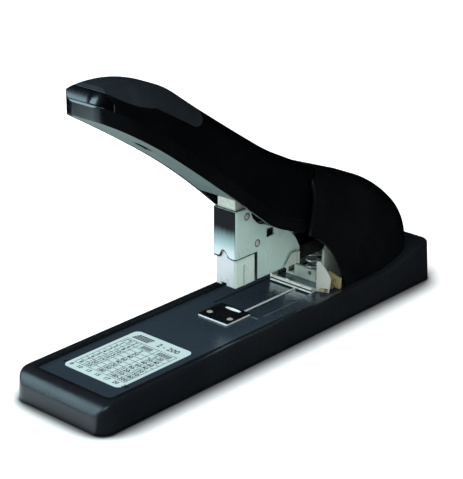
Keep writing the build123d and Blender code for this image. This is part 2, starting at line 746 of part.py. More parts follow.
def handle_form(inset):
    """The handle's outside moved inwards: long soft edges, faceted round nose."""
    path = ridge_path(inset)
    low = 30.0
    first = path[0] @ 0
    last = path[-1] @ 1
    under = Polyline(last, (last.X, low), (first.X, low), first)
    side = make_face(path + under.edges())
    wide = 2 * HANDLE_HALF
    form = prism_y(side, -wide, wide) & prism_z(handle_waist(inset), low - 10, 240)
    long_edges = []
    for edge in form.edges():
        middle = edge.center()
        runs_along = edge.bounding_box().size.X > 5
        on_top = middle.Z > low + 1
        if abs(middle.Y) > 5 and runs_along and on_top:
            long_edges.append(edge)
    form = fillet(long_edges, HANDLE_EDGE - inset)
    shape = offset(handle_side(), -inset, kind=Kind.INTERSECTION) if inset else handle_side()
    form &= prism_y(shape, -wide, wide)
    return form & prism_z(handle_plan(inset), 0, 240)


def handle_waist(inset):
    """Plan of the handle without its nose: wide ends and a slim waist, moved inwards."""
    half = HANDLE_HALF - inset
    waist = HANDLE_WAIST_HALF - inset
    middle = (half + waist) / 2
    rear_end = HANDLE_WAIST_X - HANDLE_WAIST_REAR
    front_end = HANDLE_WAIST_X + HANDLE_WAIST_FRONT
    tail = -120.0
    beyond = HANDLE_NOSE_X + 30
    rear = Line((tail, half), (rear_end, half))
    fall = TangentArc(rear @ 1, ((rear_end + HANDLE_WAIST_X) / 2, middle), tangent=(1, 0))
    slim = TangentArc(fall @ 1, (HANDLE_WAIST_X, waist), tangent=fall % 1)
    grow = TangentArc(slim @ 1, ((front_end + HANDLE_WAIST_X) / 2, middle), tangent=(1, 0))
    level = TangentArc(grow @ 1, (front_end, half), tangent=grow % 1)
    front = Line(level @ 1, (beyond, half))
    side = [rear, fall, slim, grow, level, front]
    other = [mirror(edge, Plane.XZ) for edge in side]
    ends = [Line((tail, -half), (tail, half)), Line((beyond, -half), (beyond, half))]
    return make_face(side + other + ends)


def handle_plan(inset):
    """Plan of the handle with its rounded nose, moved inwards."""
    half = HANDLE_HALF - inset
    nose = HANDLE_NOSE_X - inset
    face = outline((nose, half), (-120, half), (-120, -half), (nose, -half))
    face = fillet([v for v in face.vertices() if v.X > 0], HANDLE_NOSE_CORNER - inset)
    return face & handle_waist(inset)


def below_band(rise):
    """Everything under the handle's parting line."""
    belly, run, heel, tail = belly_path(rise)
    front = belly @ 1
    ahead = belly % 1
    rest = Polyline(front, front + ahead * 40, (200, -20), (-120, -20), (-120, 76), tail @ 1)
    return prism_y(make_face([belly, run, heel, tail] + rest.edges()), -60, 60)


def grip_zone(gap):
    """Side view of the soft grip: along the top from the nose to a rounded end."""
    lower = ThreePointArc((124.0, 189.5), (110.0, 180.5), (92.0, 174.2))
    ramp = Line((92.0, 174.2), (59.0, 155.6))
    end = ThreePointArc((59.0, 155.6), (48.0, 154.6), (GRIP_REAR, 164.0))
    rest = Polyline((GRIP_REAR, 164.0), (GRIP_REAR - 12, 210), (124.0, 210), (124.0, 189.5))
    face = make_face([lower, ramp, end] + rest.edges())
    face = offset(face, -gap) if gap else face
    return prism_y(face, -60, 60)


def handle_skin():
    """The handle's hollow outer wall, before it is split into its mouldings."""
    skin = handle_form(0) - handle_form(HANDLE_WALL)
    return skin - block((-140, HEEL_END + 6), (-18.6, 18.6), (0, 90))


def handle_shell():
    """Upper moulding of the handle, with a recess for the soft grip."""
    shell = handle_skin() - below_band(BAND_HEIGHT + SEAT_GAP)
    return shell - (grip_zone(0) - handle_form(GRIP_THICK + SEAT_GAP))


def soft_grip():
    """Soft inlay on the top of the handle."""
    return (handle_form(0) - handle_form(GRIP_THICK)) & grip_zone(SEAT_GAP)


def handle_band():
    """Lower rim of the handle, round the sides and the nose."""
    band = handle_skin() & below_band(BAND_HEIGHT - SEAT_GAP)
    return band - prism_z(handle_plan(HANDLE_WALL), 0, 240)


def handle_underside():
    """Grey plate that closes the front half of the handle from below."""
    plate = (handle_form(0) - handle_form(2.0)) & below_band(BAND_HEIGHT / 2)
    plate &= prism_z(handle_plan(HANDLE_WALL + SEAT_GAP), 0, 240)
    plate -= block((-140, UNDERSIDE_REAR), (-30, 30), (0, 240))
    plate -= prism_z(Pos(SCREW_X, 0) * SlotOverall(11, 6), 0, 240)
    seat = screw_seat()
    well = prism_z(Pos(SCREW_X, 0) * SlotOverall(14, 9), 0, seat + 1.5) & handle_form(0)
    well -= prism_z(Pos(SCREW_X, 0) * SlotOverall(11, 6), 0, seat)
    return plate + well - rod_z(SCREW_X, 0, 1.7, 0, 240)


def screw_seat():
    """Height of the handle screw's seat, up inside its well."""
    belly = belly_path(0)[0]
    spot = min((belly @ (n / 200) for n in range(201)), key=lambda v: abs(v.X - SCREW_X))
    return spot.Y + 6.0


def lever_side():
    """Side view of the steel lever inside the handle."""
    face = outline(
        (PIVOT_X - 4, PIVOT_Z + 9), (PIVOT_X + 2, PIVOT_Z + 10), (-62, 86.5), (-30, 103.5),
        (0, 122), (40, 144.5), (62, 158.5), (LEVER_FRONT, 169), (LEVER_FRONT, 158),
        (40, 133), (4, 106), (-24, 84), (-58, 68), (PIVOT_X + 4, PIVOT_Z - 9),
    )
    return face + Pos(PIVOT_X, PIVOT_Z) * Circle(LEVER_BOSS)


def handle_lever():
    """Bent steel channel from the pivot to the front of the handle."""
    face = lever_side()
    lever = prism_y(face, -LEVER_HALF, LEVER_HALF)
    inside = LEVER_HALF - LEVER_SHEET
    for drop in (LEVER_WEB, 14.0, 26.0):
        lever -= prism_y(Pos(0, -drop) * face, -inside, inside)
    lever -= block((PIVOT_X - 30, -66), (-inside, inside), (30, 120))
    lever -= rod_y(PIVOT_X, PIVOT_Z, PIN_RADIUS + RUN_GAP, -30, 30)
    lever -= rod_y(ROLLER_X, ROLLER_Z, ROLLER_PIN + RUN_GAP, -30, 30)
    reach = ROLLER_RADIUS + 1.0
    lever -= block(
        (ROLLER_X - reach, ROLLER_X + reach), (-ROLLER_HALF - 0.5, ROLLER_HALF + 0.5),
        (ROLLER_Z - reach, ROLLER_Z + 2 * reach),
    )
    return lever - rod_z(SCREW_X, 0, 1.5 + SEAT_GAP, 0, 240)


def drive_roller():
    """Roller that presses the driver's saddle."""
    return ring_y(
        ROLLER_X, ROLLER_Z, ROLLER_PIN + RUN_GAP, ROLLER_RADIUS, -ROLLER_HALF, ROLLER_HALF
    )


def roller_pin():
    """Headed pin of the roller, across the lever."""
    pin = rod_y(ROLLER_X, ROLLER_Z, ROLLER_PIN, -LEVER_HALF - 1.2, LEVER_HALF + 1.2)
    for side in (-1, 1):
        head = sorted((side * (LEVER_HALF + SEAT_GAP), side * (LEVER_HALF + 1.2)))
        pin += rod_y(ROLLER_X, ROLLER_Z, ROLLER_PIN + 1.2, *head)
    return pin


# Magazine

def wave_line(shift):
    """Front view of the wavy joint between housing and drawer cap, moved up by shift."""
    wide = HEAD_HALF + 1
    points = [(-wide, 55.7), (-4.6, 55.7), (-2.6, 59.4), (-0.2, 60.2), (2.6, 57.4), (5.2, SEAM_Z)]
    curve = Spline(*[(y, z + shift) for y, z in points[1:]], tangents=[(1, 0.25), (1, -0.15)])
    left = Line((-wide, points[0][1] + shift), (points[1][0], points[1][1] + shift))
    right = Line((points[-1][0], SEAM_Z + shift), (wide, SEAM_Z + shift))
    return [left, curve, right]


def under_wave(shift):
    """Front view of everything under the wavy joint."""
    wide = HEAD_HALF + 1
    edges = wave_line(shift)
    rest = Polyline((wide, SEAM_Z + shift), (wide, 20), (-wide, 20), (-wide, 55.7 + shift))
    return make_face(edges + rest.edges())


def housing_side():
    """Side view of the housing: tall front, dropped shoulder, rounded rear."""
    shoulder = ThreePointArc((0.4, HEAD_TOP), (-3.6, 77.6), (-12, 73))
    rear = ThreePointArc((-30, 65), (-41.4, 56.5), (HEAD_REAR, 46.4))
    rest = Polyline(
        (HEAD_REAR, 46.4), (HEAD_REAR + 3, 44.6), (HEAD_REAR + 3, ARM_BOTTOM),
        (SEAM_X, ARM_BOTTOM), (SEAM_X, SEAM_Z), (HEAD_FRONT - 2.4, SEAM_Z),
        (HEAD_FRONT - 2.4, SEAM_Z - 2), (HEAD_FRONT, SEAM_Z - 2),
        (HEAD_FRONT, HEAD_TOP), (0.4, HEAD_TOP),
    )
    ridge = Line((-12, 73), (-30, 65))
    return make_face([shoulder, ridge, rear] + rest.edges())


LATCH_STEM = (-38.4, 42.4)
LATCH_STEM_RADIUS = 1.2
HOUSING_RIVETS = [(3.7, 82.4), (-6.0, 62.2)]
RIVET_SHANK = 1.2


def magazine_housing():
    """Folded sheet: front with the wavy edge and two side plates."""
    x = (HEAD_REAR - 1, HEAD_FRONT)
    fold = block(x, (-HEAD_HALF, HEAD_HALF), (30, HEAD_TOP))
    edges = [e for e in fold.edges() if abs(e.center().X - HEAD_FRONT) < 0.1]
    fold = fillet([e for e in edges if abs(e.center().Y) > 1], 1.6)
    inside = HEAD_HALF - SHEET
    fold -= block((x[0] - 1, HEAD_FRONT - SHEET), (-inside, inside), (20, HEAD_TOP + 1))
    housing = fold & prism_y(housing_side(), -20, 20)
    housing -= prism_x(under_wave(0), HEAD_FRONT - 2.4, HEAD_FRONT + 1)
    window = Pos(-18.2, 66.2) * RectangleRounded(7.2, 5.6, 0.6)
    housing -= prism_y(window, -20, 20)
    for rx, rz in HOUSING_RIVETS:
        housing -= rod_y(rx, rz, RIVET_SHANK, -20, 20)
    return housing - rod_y(*LATCH_STEM, LATCH_STEM_RADIUS + SLIDE_GAP, 0, 20)


def housing_rivets():
    """Domed rivets on both side plates."""
    rivets = []
    for x, z in HOUSING_RIVETS:
        for face in (-HEAD_HALF, HEAD_HALF):
            rivets.append(rivet_y(x, z, face, 1.9, 0.8, RIVET_SHANK - SEAT_GAP, SHEET))
    return Compound(rivets)


ARM_HALF = HEAD_HALF - SHEET - SEAT_GAP
ARM_INSIDE = ARM_HALF - ARM_SHEET


def arm_beam():
    """Dark channel from the housing back to the pivot."""
    top = ARM_BOTTOM + ARM_HEIGHT
    side = outline(
        (ARM_FRONT, ARM_BOTTOM), (ARM_FRONT, top - 2), (ARM_FRONT - 3, top), (-66, top),
        (PIVOT_X + 7.5, PIVOT_Z + 5.8), (PIVOT_X - 5, PIVOT_Z + 8), (PIVOT_X - 7, PIVOT_Z - 6),
        (-84, ARM_BOTTOM),
    )
    side += Pos(PIVOT_X, PIVOT_Z) * Circle(ARM_BOSS)
    beam = prism_y(side, -ARM_HALF, ARM_HALF)
    beam -= block((-120, ARM_FRONT + 1), (-ARM_INSIDE, ARM_INSIDE), (ARM_BOTTOM + ARM_SHEET, 90))
    beam -= block((HEAD_REAR - 3, ARM_FRONT + 1), (-ARM_INSIDE, ARM_INSIDE), (20, 90))
    beam -= block((-120, -83), (-ARM_INSIDE, ARM_INSIDE), (20, 90))
    beam -= rod_y(*LATCH_STEM, LATCH_STEM_RADIUS + SLIDE_GAP, 0, 20)
    return beam - rod_y(PIVOT_X, PIVOT_Z, PIN_RADIUS + RUN_GAP, -20, 20)


def arm_bushes():
    """Spacers between the arm and the lever on the pivot."""
    low = ARM_HALF + SEAT_GAP
    high = LEVER_HALF - LEVER_SHEET - SLIDE_GAP / 3
    return mirrored(
        ring_y(PIVOT_X, PIVOT_Z, PIN_RADIUS + RUN_GAP, PIN_RADIUS + 2.5, low, high)
    )


def driver_block():
    """Steel plunger that stands out of the housing, with a saddle under the roller."""
    rear = DRIVER_FRONT - DRIVER_DEPTH
    top = ROLLER_Z - ROLLER_RADIUS - SLIDE_GAP
    shelf = DRIVER_BOTTOM + BLADE_LAP + SEAT_GAP
    side = outline(
        (rear, DRIVER_BOTTOM), (BLADE_FRONT - BLADE_SHEET, DRIVER_BOTTOM),
        (BLADE_FRONT - BLADE_SHEET, shelf), (DRIVER_FRONT, shelf), (DRIVER_FRONT, top),
        (rear - DRIVER_SADDLE, top), (rear - DRIVER_SADDLE, top - 5), (rear, top - 12),
    )
    plunger = prism_y(side, -DRIVER_HALF, DRIVER_HALF)
    upright = [e for e in plunger.edges() if abs(e.center().X - DRIVER_FRONT) < 0.1]
    upright = [e for e in upright if e.bounding_box().size.Z > 5]
    return fillet(upright, 0.8)


def driver_blade():
    """Thin blade on the driver's front that pushes one staple out."""
    half = STAPLE_CROWN / 2 - 0.1
    top = DRIVER_BOTTOM + BLADE_LAP
    plate = outline(
        (-half, BLADE_BOTTOM), (half, BLADE_BOTTOM), (half, top - 1.5), (half - 1.5, top),
        (1.5 - half, top), (-half, top - 1.5),
    )
    return prism_x(plate, BLADE_FRONT - BLADE_SHEET, BLADE_FRONT)


STRIP_FRONT = BLADE_FRONT - BLADE_SHEET - SLIDE_GAP
STAPLE_TOP = ARM_BOTTOM + STAPLE_LEG
RAIL_HALF = STAPLE_CROWN / 2 - STAPLE_WIRE - 0.1


def drawer_cap():
    """Front of the staple drawer: wavy top edge, pressed ribs, notched bottom."""
    x = (SEAM_X + SLIDE_GAP, CAP_FRONT)
    fold = block(x, (-CAP_HALF, CAP_HALF), (CAP_BOTTOM, 62))
    edges = [e for e in fold.edges() if abs(e.center().X - x[1]) < 0.1]
    fold = fillet([e for e in edges if abs(e.center().Y) > 1], 1.4)
    inside = CAP_HALF - SHEET
    fold -= block((x[0] - 1, x[1] - SHEET), (-inside, inside), (20, 90))
    cap = fold & prism_x(under_wave(-SLIDE_GAP), x[0] - 1, x[1] + 1)
    cap -= block((x[0] - 1, x[1] - 2.2), (-20, 20), (SEAM_Z - SLIDE_GAP - 0.3, 90))
    rib = Pos(4.2, 43.2) * SlotOverall(14.4, 1.6, rotation=90)
    for side in (-1, 1):
        cap += prism_y(rib, *sorted((side * (CAP_HALF - 0.3), side * (CAP_HALF + 0.35))))
    notch = Pos(-1.4, CAP_BOTTOM) * Rectangle(4.6, 3.4)
    cap -= prism_x(notch, x[1] - 3, x[1] + 1)
    return cap - block((x[0] - 1, x[1] + 1), (-20, 20), (0, CAP_BOTTOM))


def drawer_rail():
    """Inverted channel that the staples straddle, closed at its rear end."""
    front = STRIP_FRONT - STAPLE_WIRE - 0.1
    top = STAPLE_TOP - STAPLE_WIRE - 0.1
    rail = block((RAIL_REAR, front), (-RAIL_HALF, RAIL_HALF), (ARM_BOTTOM + 0.3, top))
    inside = RAIL_HALF - RAIL_SHEET
    rail -= block((RAIL_REAR + RAIL_SHEET, front + 1), (-inside, inside), (30, top - RAIL_SHEET))
    floor = block((RAIL_REAR, front - 4), (-CAP_HALF + SHEET, CAP_HALF - SHEET), (CAP_BOTTOM, CAP_BOTTOM + 0.8))
    floor -= block((SEAM_X + 3, front - 8), (-3, 3), (30, 40))
    link = block((RAIL_REAR, front - 4), (-RAIL_HALF, RAIL_HALF), (CAP_BOTTOM, ARM_BOTTOM + 0.3))
    link -= block((RAIL_REAR + RAIL_SHEET, front), (-inside, inside), (30, 45))
    return rail + floor + link


def staple_strip():
    """A glued strip of staples."""
    rear = STRIP_FRONT - STRIP_LENGTH
    half = STAPLE_CROWN / 2
    strip = block((rear, STRIP_FRONT), (-half, half), (ARM_BOTTOM + 0.3, STAPLE_TOP))
    inside = half - STAPLE_WIRE
    strip -= block((rear - 1, STRIP_FRONT + 1), (-inside, inside), (20, STAPLE_TOP - STAPLE_WIRE))
    return strip


FOLLOWER_FRONT = STRIP_FRONT - STRIP_LENGTH - 0.05


def staple_follower():
    """Shoe that the spring pushes against the strip, with a tongue inside the rail."""
    rear = FOLLOWER_FRONT - FOLLOWER_LENGTH
    half = STAPLE_CROWN / 2 - 0.1
    shoe = block((rear, FOLLOWER_FRONT), (-half, half), (ARM_BOTTOM + 0.5, STAPLE_TOP))
    gap = RAIL_HALF + 0.1
    shoe -= block((rear - 1, FOLLOWER_FRONT + 1), (-gap, gap), (20, STAPLE_TOP - STAPLE_WIRE))
    return shoe


def follower_spring():
    """Compression spring between the rail's rear plate and the follower's tongue."""
    low = RAIL_REAR + RAIL_SHEET + FOLLOWER_SPRING_WIRE / 2 + 0.2
    high = FOLLOWER_FRONT - FOLLOWER_LENGTH
    pitch = (high - low) / FOLLOWER_SPRING_TURNS
    path = coil_path(
        (low, 0, 48.0), (1, 0, 0), (0, 0, 1),
        FOLLOWER_SPRING_RADIUS, pitch, FOLLOWER_SPRING_TURNS,
        FOLLOWER_SPRING_WIRE, FOLLOWER_SPRING_WIRE,
    )
    return wire_spring(path, FOLLOWER_SPRING_WIRE, FOLLOWER_SPRING_RADIUS)


LATCH_FACE = HEAD_HALF + 1.4


def drawer_latch():
    """Press plate on the housing's side that frees the drawer."""
    plate = outline((-42.6, 38.6), (-30.4, 38.6), (-37.0, 46.6), (-42.6, 46.6))
    latch = prism_y(plate, LATCH_FACE, LATCH_FACE + 1.0)
    roll = rod_z(-42.6, LATCH_FACE + 0.9, 1.1, 38.6, 46.6)
    stem = rod_y(*LATCH_STEM, LATCH_STEM_RADIUS, HEAD_HALF - SHEET - 0.6, LATCH_FACE)
    return latch + roll + stem


# Depth stop

STOP_FLOOR = DECK_TOP + SLIDE_GAP


def stop_bracket():
    """Sliding paper stop: a low bar with a lip, a short left post and a tall right fin."""
    x = (STOP_X - STOP_BAR_WIDTH / 2, STOP_X + STOP_BAR_WIDTH / 2)
    top = STOP_FLOOR + STOP_SHEET
    bar = block(x, (STOP_LEFT, STOP_RIGHT), (STOP_FLOOR, top))
    lip = block((x[1] - STOP_SHEET, x[1]), (STOP_LEFT, STOP_RIGHT), (STOP_FLOOR, top + STOP_LIP))
    post = block(x, (STOP_LEFT - STOP_SHEET, STOP_LEFT), (STOP_FLOOR, top + STOP_LIP + 2.4))
    fin = make_face(
        Polyline((0, STOP_FLOOR), (8.6, STOP_FLOOR), (9.6, 27.0), (7.4, 31.5), (2.6, FIN_TOP),
                 (0, FIN_TOP), close=True)
    )
    plate = prism_x(fin, -STOP_SHEET, 0)
    plate = Pos(x[0] + STOP_SHEET, STOP_RIGHT, 0) * Rot(0, 0, FIN_LEAN) * plate
    hole = rod_z(STOP_X - 0.6, SLOT_Y, 1.2, STOP_FLOOR - 1, top + 1)
    low = STOP_FLOOR + TAB_LIFT
    slot = block(
        (x[0] - 6, x[1]), (TAB_FOOT_Y[0] - SLIDE_GAP, TAB_FOOT_Y[1] + SLIDE_GAP),
        (low - SLIDE_GAP, low + TAB_SHEET + SLIDE_GAP),
    )
    return bar + lip + post + (plate - slot) - hole


def stop_keeper():
    """Plate under the deck, with the neck that runs in the slot."""
    low = DECK_FLOOR - 1.1
    plate = block(KEEPER_X, (SLOT_Y - KEEPER_HALF, SLOT_Y + KEEPER_HALF), (low, DECK_FLOOR - 0.2))
    neck_half = SLOT_WIDTH / 2 - SLIDE_GAP
    neck = block((STOP_X - 4, STOP_X + 3), (SLOT_Y - neck_half, SLOT_Y + neck_half), (low, STOP_FLOOR))
    return plate + neck


def stop_rivet():
    """Rivet head that joins the bar to its keeper."""
    top = STOP_FLOOR + STOP_SHEET
    shank = rod_z(STOP_X - 0.6, SLOT_Y, 1.2 - SEAT_GAP, STOP_FLOOR, top)
    return shank + rod_z(STOP_X - 0.6, SLOT_Y, 1.8, top, top + 0.5)


def stop_tab():
    """Brass finger tab behind the fin that frees the stop."""
    low = STOP_FLOOR + TAB_LIFT
    foot = block((STOP_TAB_X, TAB_FOOT_END), TAB_FOOT_Y, (low, low + TAB_SHEET))
    plate = outline((TAB_INNER, low), (TAB_OUTER, low), (TAB_OUTER, TAB_SHORT), (TAB_INNER, TAB_TALL))
    tab = prism_x(plate, STOP_TAB_X - TAB_SHEET, STOP_TAB_X)
    edge = (TAB_OUTER - 0.8, TAB_OUTER)
    rim = block((STOP_TAB_X - TAB_HOOK, STOP_TAB_X), edge, (low, TAB_SHORT))
    return foot + tab + rim


def handle_screw():
    """Screw through the underside plate's slot up into the lever's front."""
    return pan_screw(SCREW_X, 0, screw_seat() - SEAT_GAP, 2.7, 1.8, 1.5, 172.0)


NODES = {
    "base_shell": base_shell,
    "bottom_plate": bottom_plate,
    "bottom_screws": bottom_screws,
    "rubber_feet": rubber_feet,
    "deck_plate": deck_plate,
    "capacity_label": capacity_label,
    "anvil_plate": anvil_plate,
    "anvil_rivets": anvil_rivets,
    "frame_bracket": frame_bracket,
    "frame_screws": frame_screws,
    "main_pivot_pin": main_pivot_pin,
    "pivot_clips": pivot_clips,
    "pivot_washers": pivot_washers,
    "handle_spring": handle_spring,
    "arm_spring": arm_spring,
    "rear_cover": rear_cover,
    "cover_screws": cover_screws,
    "handle_shell": handle_shell,
    "soft_grip": soft_grip,
    "handle_band": handle_band,
    "handle_underside": handle_underside,
    "handle_lever": handle_lever,
    "handle_screw": handle_screw,
    "drive_roller": drive_roller,
    "roller_pin": roller_pin,
    "magazine_housing": magazine_housing,
    "housing_rivets": housing_rivets,
    "arm_beam": arm_beam,
    "arm_bushes": arm_bushes,
    "driver_block": driver_block,
    "driver_blade": driver_blade,
    "drawer_cap": drawer_cap,
    "drawer_rail": drawer_rail,
    "staple_strip": staple_strip,
    "staple_follower": staple_follower,
    "follower_spring": follower_spring,
    "drawer_latch": drawer_latch,
    "stop_bracket": stop_bracket,
    "stop_keeper": stop_keeper,
    "stop_rivet": stop_rivet,
    "stop_tab": stop_tab,
}


def main():
    """Build every node and write its file."""
    os.makedirs("parts", exist_ok=True)
    for name, make in NODES.items():
        solid = make()
        print(name, round(solid.volume, 1))
        export_step(solid, f"parts/{name}.step")


if __name__ == "__main__":
    main()
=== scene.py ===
"""Finishes, print, springs, staples and studio for a long-base heavy-duty desktop stapler."""

import logging
from dataclasses import dataclass
from enum import Enum

import bpy
import numpy as np
from mathutils import Matrix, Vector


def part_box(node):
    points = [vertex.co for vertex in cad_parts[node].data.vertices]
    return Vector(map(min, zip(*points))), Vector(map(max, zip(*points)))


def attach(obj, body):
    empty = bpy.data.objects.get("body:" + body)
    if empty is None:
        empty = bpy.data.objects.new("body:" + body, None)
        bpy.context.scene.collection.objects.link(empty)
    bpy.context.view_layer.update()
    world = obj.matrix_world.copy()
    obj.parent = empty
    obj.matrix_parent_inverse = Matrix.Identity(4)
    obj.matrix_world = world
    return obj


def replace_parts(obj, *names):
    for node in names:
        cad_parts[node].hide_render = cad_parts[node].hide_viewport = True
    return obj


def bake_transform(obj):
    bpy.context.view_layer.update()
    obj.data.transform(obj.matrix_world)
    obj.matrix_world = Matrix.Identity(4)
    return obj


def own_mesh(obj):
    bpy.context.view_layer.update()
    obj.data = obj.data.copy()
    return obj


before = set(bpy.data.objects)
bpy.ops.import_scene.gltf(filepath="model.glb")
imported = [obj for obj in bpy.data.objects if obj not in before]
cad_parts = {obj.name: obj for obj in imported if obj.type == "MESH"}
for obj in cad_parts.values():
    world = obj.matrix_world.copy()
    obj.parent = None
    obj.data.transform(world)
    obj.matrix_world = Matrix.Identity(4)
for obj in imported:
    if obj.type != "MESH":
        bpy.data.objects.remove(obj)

LOG = logging.getLogger("stapler")
MM = 0.001
Tone = tuple[float, float, float]
Point = tuple[float, float, float]
Span = tuple[float, float]
Patch = tuple[float, float, float, float]
Socket = bpy.types.NodeSocket
COLD_GLEAM: Tone = (0.74, 0.9, 1.0)
# Painted shade: the tone painted into seams, hollows and rivet rings.
PAINTED_SHADE_TONE: Tone = (0.02, 0.023, 0.024)
WHITE: Tone = (1.0, 1.0, 1.0)
EVEN: Point = (1.0, 1.0, 1.0)
OFF_ON: Span = (0.0, 1.0)
ON_OFF: Span = (1.0, 0.0)
# Openness over which painted shade fades into the plain colour.
PAINTED_SHADE_OPENNESS: Span = (0.5, 0.86)
CLOUD_SPREAD: Span = (0.38, 0.62)
SMEAR_SPREAD: Span = (0.35, 0.65)
SMEAR_SHARE = 0.45
CLOUD_DETAIL = 4.0
SMEAR_DETAIL = 5.0
GRAIN_DETAIL = 3.0
STEEP = 0.99
EDGE_SAMPLES = 8
FLOOR_SAMPLES = 16
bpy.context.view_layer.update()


class Body(Enum):
    """The moving bodies that pieces can ride on."""

    BASE = "base"
    HANDLE = "handle"
    ARM = "magazine_arm"
    DRAWER = "drawer"


class NodeSheet:
    """A material's node tree, with short calls for adding and joining nodes."""

    def __init__(self, name: str) -> None:
        """Make an empty tree with a principled shader.

        Args:
            name: the material's name.
        """
        self.material = bpy.data.materials.new(name)
        self.material.use_nodes = True
        self.tree = self.material.node_tree
        self.tree.nodes.clear()
        self.shader = self.add("ShaderNodeBsdfPrincipled")
        output = self.add("ShaderNodeOutputMaterial")
        self.join(self.shader.outputs["BSDF"], output.inputs["Surface"])
        self.place = self.add("ShaderNodeTexCoord").outputs["Object"]

    def add(self, kind: str, **values: object) -> bpy.types.Node:
        """Add a node and set its plain properties.

        Args:
            kind: Blender's name for the node type.
            values: properties of the node.
        Returns:
            The new node.
        """
        node = self.tree.nodes.new(kind)
        for key, value in values.items():
            setattr(node, key, value)
        return node

    def join(self, start: Socket, end: Socket) -> None:
        """Link an output to an input."""
        self.tree.links.new(start, end)

    def set(self, **values: object) -> None:
        """Set constants on the shader's own sockets, with _ for a space in the name."""
        for key, value in values.items():
            self.shader.inputs[key.replace("_", " ")].default_value = value

    def colour(self, tone: Tone) -> tuple[float, float, float, float]:
        """A tone with full alpha."""
        return (*tone, 1.0)

    def noise(self, size_mm: float, detail: float, stretch: Point = EVEN) -> Socket:
        """Cloudy noise on object coordinates.

        Args:
            size_mm: size of one cloud.
            detail: octaves.
            stretch: how much finer the noise is along each axis.
        Returns:
            The noise's value, about 0.3 to 0.7.
        """
        mapping = self.add("ShaderNodeMapping")
        mapping.inputs["Scale"].default_value = stretch
        self.join(self.place, mapping.inputs["Vector"])
        cloud = self.add("ShaderNodeTexNoise")
        cloud.inputs["Scale"].default_value = 1.0 / (size_mm * MM)
        cloud.inputs["Detail"].default_value = detail
        self.join(mapping.outputs["Vector"], cloud.inputs["Vector"])
        return cloud.outputs["Fac"]

    def span(self, value: Socket, source: Span, target: Span) -> Socket:
        """Carry a value smoothly from one range to another.

        Args:
            value: the socket to read.
            source: the value's range.
            target: the range it becomes.
        Returns:
            The new value.
        """
        node = self.add("ShaderNodeMapRange", interpolation_type="SMOOTHSTEP")
        node.inputs["From Min"].default_value = source[0]
        node.inputs["From Max"].default_value = source[1]
        node.inputs["To Min"].default_value = target[0]
        node.inputs["To Max"].default_value = target[1]
        self.join(value, node.inputs["Value"])
        return node.outputs["Result"]

    def mix(self, amount: Socket, first: Tone | Socket, second: Tone | Socket) -> Socket:
        """Blend two colours, each a tone or a socket.

        Args:
            amount: 0 for the first, 1 for the second.
            first: colour at 0.
            second: colour at 1.
        Returns:
            The blended colour.
        """
        node = self.add("ShaderNodeMix", data_type="RGBA")
        self.join(amount, node.inputs[0])
        for socket, value in ((node.inputs[6], first), (node.inputs[7], second)):
            if isinstance(value, tuple):
                socket.default_value = self.colour(value)
            else:
                self.join(value, socket)
        return node.outputs[2]

    def along(self, axis: str) -> Socket:
        """One object coordinate.

        Args:
            axis: X, Y or Z.
        Returns:
            The coordinate in metres.
        """
        split = self.add("ShaderNodeSeparateXYZ")
        self.join(self.place, split.inputs["Vector"])
        return split.outputs[axis]

    def math(self, operation: str, first: Socket, second: Socket | float) -> Socket:
        """One step of arithmetic.

        Args:
            operation: Blender's name for the step.
            first: the first value.
            second: the second value, or a constant.
        Returns:
            The result.
        """
        node = self.add("ShaderNodeMath", operation=operation)
        self.join(first, node.inputs[0])
        if isinstance(second, float):
            node.inputs[1].default_value = second
        else:
            self.join(second, node.inputs[1])
        return node.outputs[0]

    def times(self, first: Socket, second: Socket) -> Socket:
        """The product of two values."""
        return self.math("MULTIPLY", first, second)

    def within(self, axis: str, low_mm: float, high_mm: float, soft_mm: float = 0.1) -> Socket:
        """1 between two places along an axis and 0 outside them.

        Args:
            axis: X, Y or Z.
            low_mm: lower place.
            high_mm: upper place.
            soft_mm: how far the change reaches outside.
        Returns:
            The value.
        """
        place = self.along(axis)
        up = self.span(place, ((low_mm - soft_mm) * MM, low_mm * MM), OFF_ON)
        down = self.span(place, (high_mm * MM, (high_mm + soft_mm) * MM), ON_OFF)
        return self.times(up, down)

    def rounded(self, radius_mm: float) -> Socket:
        """The normal of a surface with its edges rounded off.

        Args:
            radius_mm: radius of the rounding.
        Returns:
            The normal.
        """
        node = self.add("ShaderNodeBevel", samples=EDGE_SAMPLES)
        node.inputs["Radius"].default_value = radius_mm * MM
        return node.outputs["Normal"]

    def openness(self, reach_mm: float, samples: int) -> Socket:
        """How open the space over the surface is.

        Args:
            reach_mm: how far away a face still counts.
            samples: rays for each look.
        Returns:
            The share of directions, 0 to 1, in which nothing stands within reach.
        """
        node = self.add("ShaderNodeAmbientOcclusion", samples=samples)
        node.inputs["Distance"].default_value = reach_mm * MM
        return node.outputs["AO"]

    def bump(self, height: Socket, depth_mm: float, under: Socket | None = None) -> Socket:
        """Raise the surface's shading by a height map, over another relief if there is one.

        Args:
            height: the height map.
            depth_mm: what a height of 1 stands for.
            under: the normal that the relief starts from.
        Returns:
            The new normal, which the shader also takes.
        """
        node = self.add("ShaderNodeBump")
        node.inputs["Distance"].default_value = depth_mm * MM
        self.join(height, node.inputs["Height"])
        if under is not None:
            self.join(under, node.inputs["Normal"])
        self.join(node.outputs["Normal"], self.shader.inputs["Normal"])
        return node.outputs["Normal"]


